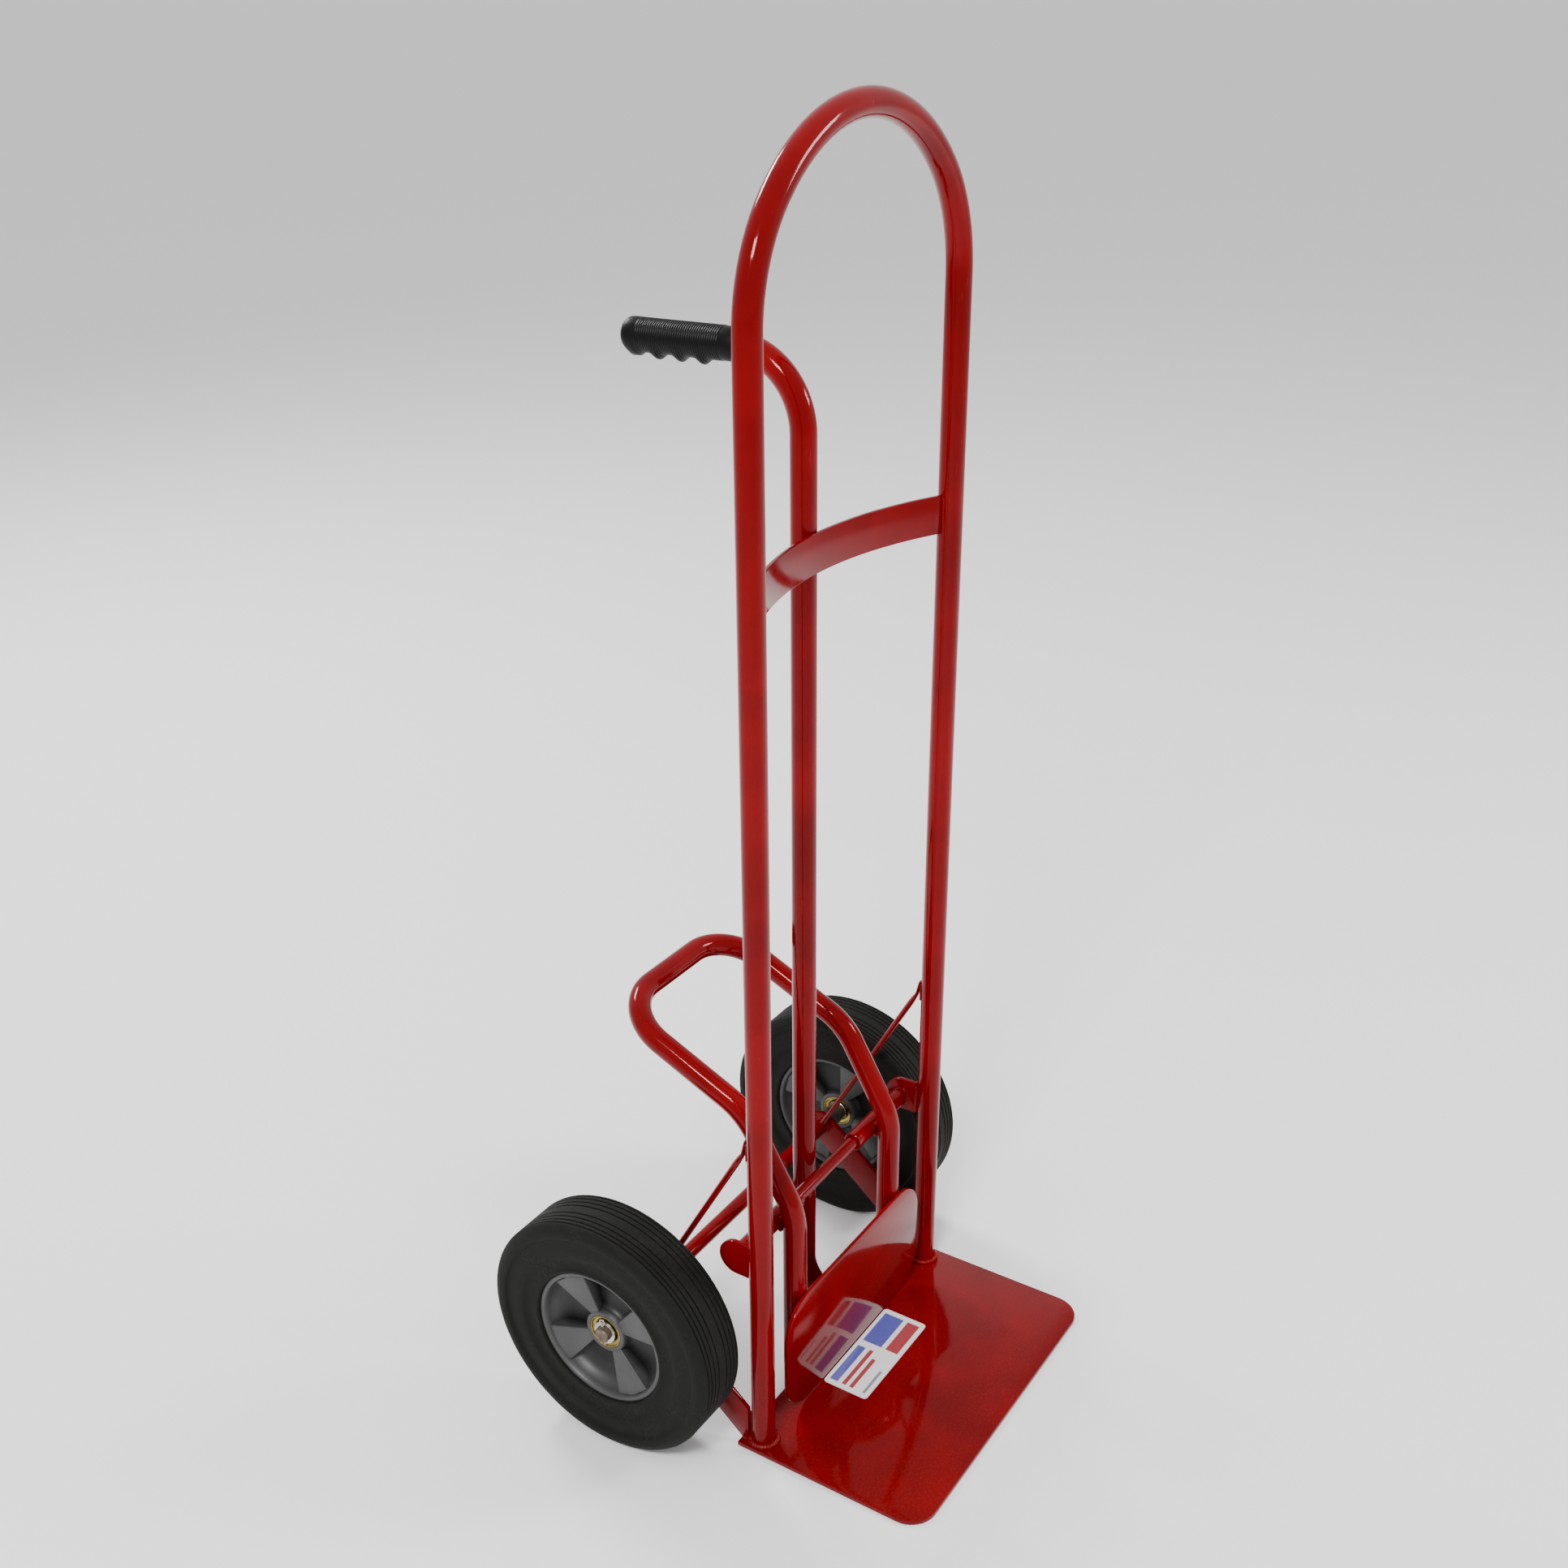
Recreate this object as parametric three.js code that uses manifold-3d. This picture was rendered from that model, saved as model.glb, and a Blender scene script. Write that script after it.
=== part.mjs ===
// A two-wheel hand truck in welded steel tube, with a curved centre post that ends in a
// pistol grip and a foot-worked ejector lever that pushes the load off the toe plate.
// Millimetres, +Z up. The origin is on the floor, midway between the two rails and on
// their centre plane. -Y is the front, where the load stands, and +Y is the user's side.
// "left" is the -X side and "right" is the +X side.
import * as THREE from "three";
import { mergeVertices } from "three/addons/utils/BufferGeometryUtils.js";
import Module from "manifold-3d";

const wasm = await Module();
wasm.setup();

// ---------------------------------------------------------------- driving dimensions
const GAP = 0.3; // between pieces that are welded or seated on each other
const RUNNING_GAP = 0.4; // between pieces that turn on each other

const TUBE_R = 11.65; // rails, arch, centre post and lever share one tube
const TUBE_WALL = 2;

const RAIL_X = 163.65; // rail centre line from the middle plane
const FRAME_TOP_Z = 1204.3; // centre line of the arch at its crown
const ARCH_RISE = 144.3; // crown above the end of the straight rails
const SHOULDER_R = 130; // centre-line radius where the arch leaves the rails

const TOE_THICKNESS = 5;
const TOE_OVERHANG = 17.35; // plate edge past the rail centre line
const TOE_FRONT_Y = -184.6;
const TOE_HEEL = 7.85; // plate behind the back of the rails
const TOE_CORNER_R = 28;

const LABEL_WIDTH = 129;
const LABEL_DEPTH = 50;
const LABEL_THICKNESS = 0.4;
const LABEL_CORNER_R = 4;

const POST_Y = 54;
const POST_TOP_Z = 1017; // centre line of the horizontal run
const POST_BEND_R = 68;
const POST_CRANK_LOW_Z = 22;
const POST_CRANK_HIGH_Z = 82;
const POST_CRANK_R = 45;

const GRIP_BACKSET = 0.5; // grip's open end past the end of the post's bend
const GRIP_LENGTH = 109.5;
const GRIP_WALL = 2.65; // vinyl outside its bore
const GRIP_END_WALL = 6;
const GRIP_END_ROUND = 8;
const FINGER_COUNT = 4;
const FINGER_PITCH = 23.2;
const FINGER_FIRST = 12; // last finger swell, in from the closed end
const FINGER_R = 12;
const FINGER_DROP = 7; // swell centres below the grip's axis

const STRAP_Z = 852;
const STRAP_HEIGHT = 35;
const STRAP_THICKNESS = 4;
const STRAP_END_Y = 4;

const WHEEL_R = 127;
const TYRE_WIDTH = 62;
const TREAD_HALF = 25; // half of the flat tread
const SHOULDER_DROP = 8.2; // tread radius less sidewall-edge radius
const SIDEWALL_DISH = 3.5; // sidewall falls in by this at the hub
const HUB_R = 72;
const HUB_HALF_WIDTH = 25.2;
const HUB_LIP = 3.5;
const HUB_RIM = 5.5;
const BOSS_WALL = 4.6; // boss outside the cup
const BOSS_HALF_WIDTH = 15.5;
const HUB_CORE_WIDTH = 1.8; // core outside the inner ring
const SPOKE_COUNT = 4;
const SPOKE_RIM_HALF = 21; // half width of a spoke at the rim
const SPOKE_BOSS_HALF = 6; // half width of a spoke at the boss
const POCKET_WEB = 5; // half thickness of the web behind the pockets
const HUB_TURN_LEFT = 57; // degrees from +Y towards +Z to the first spoke
const HUB_TURN_RIGHT = 24;

const BALL_R = 2;
const BALL_CLEARANCE = 0.45;
const CUP_WALL = 1.6;
const CUP_DEPTH = 9.3;
const CUP_HOLE_CLEARANCE = 1; // cup's hole outside the inner ring
const RACE_WALL = 2.85;
const RACE_HALF_SPAN = 14.8; // outer face of an inner ring from the wheel's middle
const RACE_LENGTH = 8.3;

const AXLE_R = 7.95;
const AXLE_Y = 135.3;
const AXLE_TAIL = 4; // axle past the cotter's centre
const COTTER_R = 1.5;
const COTTER_STANDOUT = 4.05; // past the axle's surface, each way
const COTTER_EYE_R = 3.6;
const WASHER_R = 13;
const WASHER_THICKNESS = 1.6;
const SPACER_WALL = 2.65;
const SPACER_LENGTH = 29.3;

const BRACKET_THICKNESS = 5;
const BRACKET_HALF_WIDTH = 17;
const BRACKET_OFFSET = 4.35; // inner face outside the rail centre line

const BRACE_R = 3.175;
const BRACE_TOP_Z = 346;
const BRACE_PAD_WIDTH = 10;
const BRACE_PAD_THICKNESS = 4;
const BRACE_PAD_HEIGHT = 22;

const PIVOT_Z = 215;
const PIVOT_ROD_R = 6.35;
const LUG_THICKNESS = 5;
const LUG_R = 18.5;
const LUG_INSET = 1.15; // lug's outer face inside the rail centre line
const SLEEVE_WALL = 2.75;
const SLEEVE_INNER_X = 54;
const SLEEVE_OUTER_CLEARANCE = 7.5; // sleeve end to lug

const LEVER_X = 92.1; // leg centre line from the middle plane
const LEVER_Y = 8;
const LEVER_FOOT_Z = 45;
const LEVER_KNEE_RISE = 15; // knee corner above the pivot
const LEVER_THIGH = [54.9, 96.5]; // knee to hip, rearward and up
const LEVER_PEDAL = [147.1, 67.5]; // hip to foot bar, rearward and up
const LEVER_BEND_R = 70;
const LEVER_CORNER_R = 55;

const KICK_HALF_WIDTH = 132;
const KICK_BOTTOM_Z = 8;
const KICK_TOP_Z = 140;
const KICK_THICKNESS = 4;
const KICK_CORNER_R = 42;

const TUBE_SEGMENTS = 6; // half the sides of a tube's section
const ROUND_SIDES = 16;
const AXLE_SIDES = 20;
const BALL_SIDES = 5;
const ROD_SIDES = 12;
const PIN_SIDES = 8;
const SWELL_SIDES = 10;
const SWELL_RINGS = 6;
const BEND_STEPS = 4;
const CROWN_STEPS = 7;
const STRAP_SEGMENTS = 10;
const CORNER_SEGMENTS = 6;
const SMALL_CORNER_SEGMENTS = 3;
const PLATE_END_SEGMENTS = 8;
const POCKET_SEGMENTS = 4;
const WHEEL_SIDES = 32;
const DEGREE = Math.PI / 180;

// ---------------------------------------------------------------- derived places
const RAIL_BACK_Y = TUBE_R;
const TOE_REAR_Y = RAIL_BACK_Y + TOE_HEEL;
const TOE_HALF_WIDTH = RAIL_X + TOE_OVERHANG;
const PLATE_TOP_Z = TOE_THICKNESS;
const SEAT_Z = PLATE_TOP_Z + GAP; // where welded pieces stand on the toe plate

const GRIP_BORE_R = TUBE_R + GAP;
const GRIP_R = GRIP_BORE_R + GRIP_WALL;
const BORE_R = AXLE_R + RUNNING_GAP;
const SPACER_R = BORE_R + SPACER_WALL;
const RACE_OUTER_R = BORE_R + RACE_WALL;
const CUP_R = RACE_OUTER_R + 2 * (BALL_R + BALL_CLEARANCE) + CUP_WALL;
const HUB_CORE_R = RACE_OUTER_R + HUB_CORE_WIDTH;
const BOSS_R = CUP_R + BOSS_WALL;
const COTTER_HALF_LENGTH = AXLE_R + COTTER_STANDOUT;
const BRACKET_INNER_X = RAIL_X + BRACKET_OFFSET;
const BRACKET_OUTER_X = BRACKET_INNER_X + BRACKET_THICKNESS;
const SPACER_INNER_X = BRACKET_OUTER_X + GAP;
const WHEEL_X = SPACER_INNER_X + SPACER_LENGTH + GAP + RACE_HALF_SPAN;
const WASHER_X = WHEEL_X + RACE_HALF_SPAN + GAP;
const COTTER_X = WASHER_X + WASHER_THICKNESS + GAP + COTTER_R;
const AXLE_END_X = COTTER_X + AXLE_TAIL;
const AXLE_Z = WHEEL_R;

const KICK_REAR_Y = LEVER_Y - TUBE_R - GAP;
const POST_FOOT_Y = LEVER_Y;
const GRIP_FRONT_Y = POST_Y + POST_BEND_R + GRIP_BACKSET;
const SLEEVE_BORE_R = PIVOT_ROD_R + RUNNING_GAP;
const SLEEVE_R = SLEEVE_BORE_R + SLEEVE_WALL;
const PIVOT_Y = LEVER_Y + TUBE_R + GAP + SLEEVE_R;
const LUG_OUTER_X = RAIL_X - LUG_INSET;
const LUG_INNER_X = LUG_OUTER_X - LUG_THICKNESS;

// ---------------------------------------------------------------- solids
function solidOf(geometry) {
  const bare = geometry.clone();
  bare.deleteAttribute("normal");
  bare.deleteAttribute("uv");
  const merged = mergeVertices(bare, 1e-3);
  return new wasm.Manifold(
    new wasm.Mesh({
      numProp: 3,
      vertProperties: new Float32Array(merged.attributes.position.array),
      triVerts: new Uint32Array(merged.index.array),
    }),
  );
}

function geometryOf(solid) {
  const mesh = solid.getMesh();
  const geometry = new THREE.BufferGeometry();
  geometry.setAttribute("position", new THREE.BufferAttribute(mesh.vertProperties, 3));
  geometry.setIndex(new THREE.BufferAttribute(mesh.triVerts, 1));
  geometry.computeVertexNormals();
  return geometry;
}

function join(...geometries) {
  return geometryOf(geometries.map(solidOf).reduce((sum, next) => sum.add(next)));
}

function cut(base, ...tools) {
  return geometryOf(tools.map(solidOf).reduce((left, tool) => left.subtract(tool), solidOf(base)));
}

// A solid of revolution about X. The profile's points are [radius, x].
function turnedAboutX(profile, sides) {
  const points = profile.map(([radius, x]) => new THREE.Vector2(radius, x));
  return new THREE.LatheGeometry(points, sides).rotateZ(-Math.PI / 2);
}

// A tube or ring about X between x = from and x = to.
function ringAboutX(inner, outer, from, to, sides) {
  const profile = [[inner, from], [outer, from], [outer, to], [inner, to], [inner, from]];
  return turnedAboutX(profile, sides);
}

function rodAboutX(radius, from, to, sides) {
  return turnedAboutX([[0, from], [radius, from], [radius, to], [0, to]], sides);
}

// A flat plate whose outline is drawn in the YZ plane, from x = from to x = from + thickness.
function plateAcrossX(shape, from, thickness, curveSegments) {
  const options = { depth: thickness, bevelEnabled: false, curveSegments };
  const geometry = new THREE.ExtrudeGeometry(shape, options);
  const axes = new THREE.Matrix4().makeBasis(
    new THREE.Vector3(0, 1, 0),
    new THREE.Vector3(0, 0, 1),
    new THREE.Vector3(1, 0, 0),
  );
  return geometry.applyMatrix4(axes).translate(from, 0, 0);
}

// A rectangle with its own radius at each corner, from the lower left anticlockwise.
function roundedRectangle(left, bottom, right, top, radii) {
  const shape = new THREE.Shape();
  const corners = [[left, bottom], [right, bottom], [right, top], [left, top]];
  const inward = [[1, 1], [-1, 1], [-1, -1], [1, -1]];
  corners.forEach(([x, y], i) => {
    const r = radii[i];
    const start = Math.PI + i * Math.PI / 2;
    if (r > 0) {
      const [sx, sy] = inward[i];
      shape.absarc(x + sx * r, y + sy * r, r, start, start + Math.PI / 2, false);
    } else if (i === 0) {
      shape.moveTo(x, y);
    } else {
      shape.lineTo(x, y);
    }
  });
  shape.closePath();
  return shape;
}

// A tube's centre line as a list of stations: one step along each straight run and a few
// round each bend, so a swept section stays square to the line at every station.
class TubePath extends THREE.Curve {
  constructor(start, heading) {
    super();
    this.stations = [{ point: start.clone(), tangent: heading.clone().normalize() }];
  }

  last() {
    return this.stations[this.stations.length - 1];
  }

  forward(distance) {
    const { point, tangent } = this.last();
    this.stations.push({ point: point.clone().addScaledVector(tangent, distance), tangent });
    return this;
  }

  bend(towards, radius, angle, steps) {
    const { point, tangent } = this.last();
    const centre = point.clone().addScaledVector(towards, radius);
    const axis = new THREE.Vector3().crossVectors(tangent, towards).normalize();
    for (let i = 1; i <= steps; i++) {
      const turn = (angle * i) / steps;
      this.stations.push({
        point: point.clone().sub(centre).applyAxisAngle(axis, turn).add(centre),
        tangent: tangent.clone().applyAxisAngle(axis, turn),
      });
    }
    return this;
  }

  station(t) {
    return this.stations[Math.round(t * (this.stations.length - 1))];
  }

  getPoint(t) {
    return this.station(t).point.clone();
  }

  getPointAt(u) {
    return this.getPoint(u);
  }

  getTangent(t) {
    return this.station(t).tangent.clone();
  }

  getTangentAt(u) {
    return this.getTangent(u);
  }

  getSpacedPoints() {
    return this.stations.map(({ point }) => point.clone());
  }
}

// The centre line through some corner points, with a bend of its own radius at each corner.
function filletedPath(corners, radii) {
  const points = corners.map((c) => new THREE.Vector3(...c));
  const heading = (i) => points[i + 1].clone().sub(points[i]).normalize();
  const path = new TubePath(points[0], heading(0));
  let used = 0;
  for (let i = 1; i < points.length - 1; i++) {
    const before = heading(i - 1);
    const after = heading(i);
    const angle = before.angleTo(after);
    const radius = radii[i - 1];
    const setback = radius * Math.tan(angle / 2);
    path.forward(points[i].distanceTo(points[i - 1]) - used - setback);
    const towards = after.clone().addScaledVector(before, -after.dot(before)).normalize();
    path.bend(towards, radius, angle, BEND_STEPS);
    used = setback;
  }
  const end = points.length - 1;
  return path.forward(points[end].distanceTo(points[end - 1]) - used);
}

function hollowTube(path, radius, wall) {
  const section = new THREE.Shape();
  section.absarc(0, 0, radius, 0, 2 * Math.PI, false);
  const bore = new THREE.Path();
  bore.absarc(0, 0, radius - wall, 0, 2 * Math.PI, true);
  section.holes.push(bore);
  return new THREE.ExtrudeGeometry(section, {
    steps: path.stations.length - 1,
    extrudePath: path,
    curveSegments: TUBE_SEGMENTS,
  });
}

// ---------------------------------------------------------------- materials and scene graph
const root = new THREE.Group();

const FINISHES = {
  red_paint: { color: 0xa0080c, roughness: 0.3, metalness: 0 },
  label_film: { color: 0xd8d8d4, roughness: 0.4, metalness: 0 },
  grip_vinyl: { color: 0x1c1c1e, roughness: 0.6, metalness: 0 },
  tyre_rubber: { color: 0x2e2e2b, roughness: 0.85, metalness: 0 },
  cast_hub: { color: 0x8a8a88, roughness: 0.45, metalness: 0.9 },
  yellow_zinc: { color: 0xc4a24a, roughness: 0.35, metalness: 0.9 },
  bright_steel: { color: 0xc0c0c0, roughness: 0.3, metalness: 1 },
  axle_steel: { color: 0x7a6350, roughness: 0.55, metalness: 0.8 },
};

function add(parent, name, finish, geometry) {
  const mesh = new THREE.Mesh(geometry, new THREE.MeshStandardMaterial(FINISHES[finish]));
  mesh.name = name;
  parent.add(mesh);
}

const SIDES = [["left", -1], ["right", 1]];

// ---------------------------------------------------------------- frame
// The arch has three centres: two shoulders tangent to the rails and a crown between them.
function frameLoop() {
  const run = RAIL_X - SHOULDER_R;
  const crownR = (run * run + ARCH_RISE * ARCH_RISE - SHOULDER_R * SHOULDER_R)
    / (2 * (ARCH_RISE - SHOULDER_R));
  const crownHalf = Math.atan2(run, crownR - ARCH_RISE);
  const shoulder = Math.PI / 2 - crownHalf;
  const straight = FRAME_TOP_Z - ARCH_RISE - SEAT_Z;
  const inwards = (path) => {
    const { tangent } = path.last();
    return new THREE.Vector3(tangent.z, 0, -tangent.x);
  };
  const path = new TubePath(new THREE.Vector3(-RAIL_X, 0, SEAT_Z), new THREE.Vector3(0, 0, 1));
  path.forward(straight);
  path.bend(inwards(path), SHOULDER_R, shoulder, BEND_STEPS);
  path.bend(inwards(path), crownR, 2 * crownHalf, CROWN_STEPS);
  path.bend(inwards(path), SHOULDER_R, shoulder, BEND_STEPS);
  path.forward(straight);
  return hollowTube(path, TUBE_R, TUBE_WALL);
}

function centerPost() {
  const corners = [
    [0, POST_FOOT_Y, SEAT_Z],
    [0, POST_FOOT_Y, POST_CRANK_LOW_Z],
    [0, POST_Y, POST_CRANK_HIGH_Z],
    [0, POST_Y, POST_TOP_Z],
    [0, GRIP_FRONT_Y + GRIP_LENGTH - GRIP_END_WALL - GAP, POST_TOP_Z],
  ];
  const radii = [POST_CRANK_R, POST_CRANK_R, POST_BEND_R];
  return hollowTube(filletedPath(corners, radii), TUBE_R, TUBE_WALL);
}

// A closed sleeve with swells for the fingers on its underside.
function handleGrip() {
  const rounding = [0, 30, 60, 90].map((degrees) => [
    GRIP_R - GRIP_END_ROUND * (1 - Math.cos(degrees * DEGREE)),
    GRIP_LENGTH - GRIP_END_ROUND * (1 - Math.sin(degrees * DEGREE)),
  ]);
  const outline = [[0, 0], [GRIP_R, 0], ...rounding, [0, GRIP_LENGTH]];
  const body = new THREE.LatheGeometry(outline.map(([r, y]) => new THREE.Vector2(r, y)), ROUND_SIDES);
  const swells = [];
  for (let i = 0; i < FINGER_COUNT; i++) {
    const swell = new THREE.SphereGeometry(FINGER_R, SWELL_SIDES, SWELL_RINGS);
    swells.push(swell.translate(0, GRIP_LENGTH - FINGER_FIRST - i * FINGER_PITCH, -FINGER_DROP));
  }
  const boreR = GRIP_BORE_R / Math.cos(Math.PI / ROUND_SIDES);
  const boreLength = GRIP_LENGTH - GRIP_END_WALL;
  const bore = new THREE.CylinderGeometry(boreR, boreR, 2 * boreLength, ROUND_SIDES);
  return cut(join(body, ...swells), bore).translate(0, GRIP_FRONT_Y, POST_TOP_Z);
}

// A flat bar bowed back from the rails to the front of the post.
function crossStrap() {
  const endX = RAIL_X - TUBE_R - GAP;
  const middleY = POST_Y - TUBE_R - GAP - STRAP_THICKNESS / 2;
  const bow = middleY - STRAP_END_Y;
  const radius = (endX * endX + bow * bow) / (2 * bow);
  const half = Math.asin(endX / radius);
  const centreY = middleY - radius;
  const up = Math.PI / 2;
  const shape = new THREE.Shape();
  shape.absarc(0, centreY, radius + STRAP_THICKNESS / 2, up - half, up + half, false);
  shape.absarc(0, centreY, radius - STRAP_THICKNESS / 2, up + half, up - half, true);
  shape.closePath();
  const options = { depth: STRAP_HEIGHT, bevelEnabled: false, curveSegments: STRAP_SEGMENTS };
  return new THREE.ExtrudeGeometry(shape, options).translate(0, 0, STRAP_Z - STRAP_HEIGHT / 2);
}

function toePlate() {
  const radii = [TOE_CORNER_R, TOE_CORNER_R, 0, 0];
  const shape = roundedRectangle(-TOE_HALF_WIDTH, TOE_FRONT_Y, TOE_HALF_WIDTH, TOE_REAR_Y, radii);
  const options = { depth: TOE_THICKNESS, bevelEnabled: false, curveSegments: CORNER_SEGMENTS };
  return new THREE.ExtrudeGeometry(shape, options);
}

function label() {
  const rear = KICK_REAR_Y - KICK_THICKNESS;
  const radii = [LABEL_CORNER_R, LABEL_CORNER_R, LABEL_CORNER_R, LABEL_CORNER_R];
  const shape = roundedRectangle(-LABEL_WIDTH / 2, rear - LABEL_DEPTH, LABEL_WIDTH / 2, rear, radii);
  const options = { depth: LABEL_THICKNESS, bevelEnabled: false, curveSegments: SMALL_CORNER_SEGMENTS };
  return new THREE.ExtrudeGeometry(shape, options).translate(0, 0, SEAT_Z);
}

add(root, "frame_loop", "red_paint", frameLoop());
add(root, "center_post", "red_paint", centerPost());
add(root, "handle_grip", "grip_vinyl", handleGrip());
add(root, "cross_strap", "red_paint", crossStrap());
add(root, "toe_plate", "red_paint", toePlate());
add(root, "label", "label_film", label());

// ---------------------------------------------------------------- running gear on the frame
// A bar from the back edge of the toe plate up to the axle. Its lower edge leaves the
// plate's edge and is tangent to the round end; its upper edge runs parallel to that.
function axleBracket() {
  const reachY = AXLE_Y - TOE_REAR_Y;
  const reachZ = AXLE_Z - SEAT_Z;
  const span = Math.hypot(reachY, reachZ);
  const slope = Math.atan2(reachZ, reachY) - Math.asin(BRACKET_HALF_WIDTH / span);
  const frontY = RAIL_BACK_Y + GAP;
  const topY = AXLE_Y - BRACKET_HALF_WIDTH * Math.sin(slope);
  const topZ = AXLE_Z + BRACKET_HALF_WIDTH * Math.cos(slope);
  const shape = new THREE.Shape();
  shape.moveTo(frontY, SEAT_Z);
  shape.lineTo(TOE_REAR_Y, SEAT_Z);
  shape.absarc(AXLE_Y, AXLE_Z, BRACKET_HALF_WIDTH, slope - Math.PI / 2, slope + Math.PI / 2, false);
  shape.lineTo(frontY, topZ - (topY - frontY) * Math.tan(slope));
  shape.closePath();
  const bore = new THREE.Path();
  bore.absarc(AXLE_Y, AXLE_Z, BORE_R, 0, 2 * Math.PI, true);
  shape.holes.push(bore);
  return shape;
}

// A round bar from the back of the rail to the top of the axle, with a flattened top end.
function braceRod() {
  const lean = Math.atan2(AXLE_Y - RAIL_BACK_Y, BRACE_TOP_Z - AXLE_Z);
  const top = new THREE.Vector3(0, RAIL_BACK_Y + GAP + BRACE_R * Math.cos(lean), BRACE_TOP_Z);
  const axle = new THREE.Vector3(0, AXLE_Y, AXLE_Z);
  const length = top.distanceTo(axle) - AXLE_R - GAP;
  const rod = new THREE.CylinderGeometry(BRACE_R, BRACE_R, length, ROD_SIDES).translate(0, -length / 2, 0);
  const down = new THREE.Vector3(0, -1, 0);
  const turn = new THREE.Quaternion().setFromUnitVectors(down, axle.clone().sub(top).normalize());
  rod.applyQuaternion(turn).translate(top.x, top.y, top.z);
  const pad = new THREE.BoxGeometry(BRACE_PAD_WIDTH, BRACE_PAD_THICKNESS, BRACE_PAD_HEIGHT);
  pad.translate(0, RAIL_BACK_Y + GAP + BRACE_PAD_THICKNESS / 2, BRACE_TOP_Z);
  return join(rod, pad);
}

function pivotLug() {
  const frontY = RAIL_BACK_Y + GAP;
  const shape = new THREE.Shape();
  shape.moveTo(frontY, PIVOT_Z - LUG_R);
  shape.absarc(PIVOT_Y, PIVOT_Z, LUG_R, -Math.PI / 2, Math.PI / 2, false);
  shape.lineTo(frontY, PIVOT_Z + LUG_R);
  shape.closePath();
  return shape;
}

function axle() {
  const bar = rodAboutX(AXLE_R, -AXLE_END_X, AXLE_END_X, AXLE_SIDES).translate(0, AXLE_Y, AXLE_Z);
  const drillR = COTTER_R + GAP;
  const drills = SIDES.map(([, side]) =>
    new THREE.CylinderGeometry(drillR, drillR, 4 * AXLE_R, PIN_SIDES)
      .rotateX(Math.PI / 2)
      .translate(side * COTTER_X, AXLE_Y, AXLE_Z));
  return cut(bar, ...drills);
}

// A split pin through the axle: a shank with a round eye at its upper end.
function cotterPin() {
  const shank = new THREE.CylinderGeometry(COTTER_R, COTTER_R, 2 * COTTER_HALF_LENGTH, PIN_SIDES);
  shank.rotateX(Math.PI / 2);
  const eye = ringAboutX(COTTER_EYE_R - COTTER_R, COTTER_EYE_R, -COTTER_R / 2, COTTER_R / 2, ROD_SIDES);
  eye.translate(0, 0, COTTER_HALF_LENGTH + COTTER_EYE_R - COTTER_R);
  return join(shank, eye);
}

const centredX = (side, inner, outer) => (side > 0 ? inner : -outer);

add(root, "axle", "axle_steel", axle());
const pivotRod = rodAboutX(PIVOT_ROD_R, GAP - LUG_INNER_X, LUG_INNER_X - GAP, ROUND_SIDES);
add(root, "pivot_rod", "red_paint", pivotRod.translate(0, PIVOT_Y, PIVOT_Z));

for (const [name, side] of SIDES) {
  const bracketFrom = centredX(side, BRACKET_INNER_X, BRACKET_OUTER_X);
  const lugFrom = centredX(side, LUG_INNER_X, LUG_OUTER_X);
  const bracket = plateAcrossX(axleBracket(), bracketFrom, BRACKET_THICKNESS, PLATE_END_SEGMENTS);
  const lug = plateAcrossX(pivotLug(), lugFrom, LUG_THICKNESS, PLATE_END_SEGMENTS);
  add(root, `axle_bracket_${name}`, "red_paint", bracket);
  add(root, `pivot_lug_${name}`, "red_paint", lug);
  add(root, `brace_rod_${name}`, "red_paint", braceRod().translate(side * RAIL_X, 0, 0));

  const spacerFrom = centredX(side, SPACER_INNER_X, SPACER_INNER_X + SPACER_LENGTH);
  const spacer = ringAboutX(BORE_R, SPACER_R, spacerFrom, spacerFrom + SPACER_LENGTH, ROUND_SIDES);
  add(root, `axle_spacer_${name}`, "bright_steel", spacer.translate(0, AXLE_Y, AXLE_Z));

  const washerFrom = centredX(side, WASHER_X, WASHER_X + WASHER_THICKNESS);
  const washer = ringAboutX(BORE_R, WASHER_R, washerFrom, washerFrom + WASHER_THICKNESS, ROUND_SIDES);
  add(root, `axle_washer_${name}`, "bright_steel", washer.translate(0, AXLE_Y, AXLE_Z));
  add(root, `cotter_pin_${name}`, "bright_steel", cotterPin().translate(side * COTTER_X, AXLE_Y, AXLE_Z));
}

// ---------------------------------------------------------------- ejector lever
// Two legs hang from the pivot, bend back above it and meet in a foot bar.
function ejectorLever() {
  const kneeZ = PIVOT_Z + LEVER_KNEE_RISE;
  const hip = [LEVER_Y + LEVER_THIGH[0], kneeZ + LEVER_THIGH[1]];
  const bar = [hip[0] + LEVER_PEDAL[0], hip[1] + LEVER_PEDAL[1]];
  const leg = [[LEVER_Y, LEVER_FOOT_Z], [LEVER_Y, kneeZ], hip, bar];
  const left = leg.map(([y, z]) => [-LEVER_X, y, z]);
  const right = leg.map(([y, z]) => [LEVER_X, y, z]).reverse();
  const radii = [LEVER_BEND_R, LEVER_BEND_R, LEVER_CORNER_R, LEVER_CORNER_R, LEVER_BEND_R, LEVER_BEND_R];
  return hollowTube(filletedPath([...left, ...right], radii), TUBE_R, TUBE_WALL);
}

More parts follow.
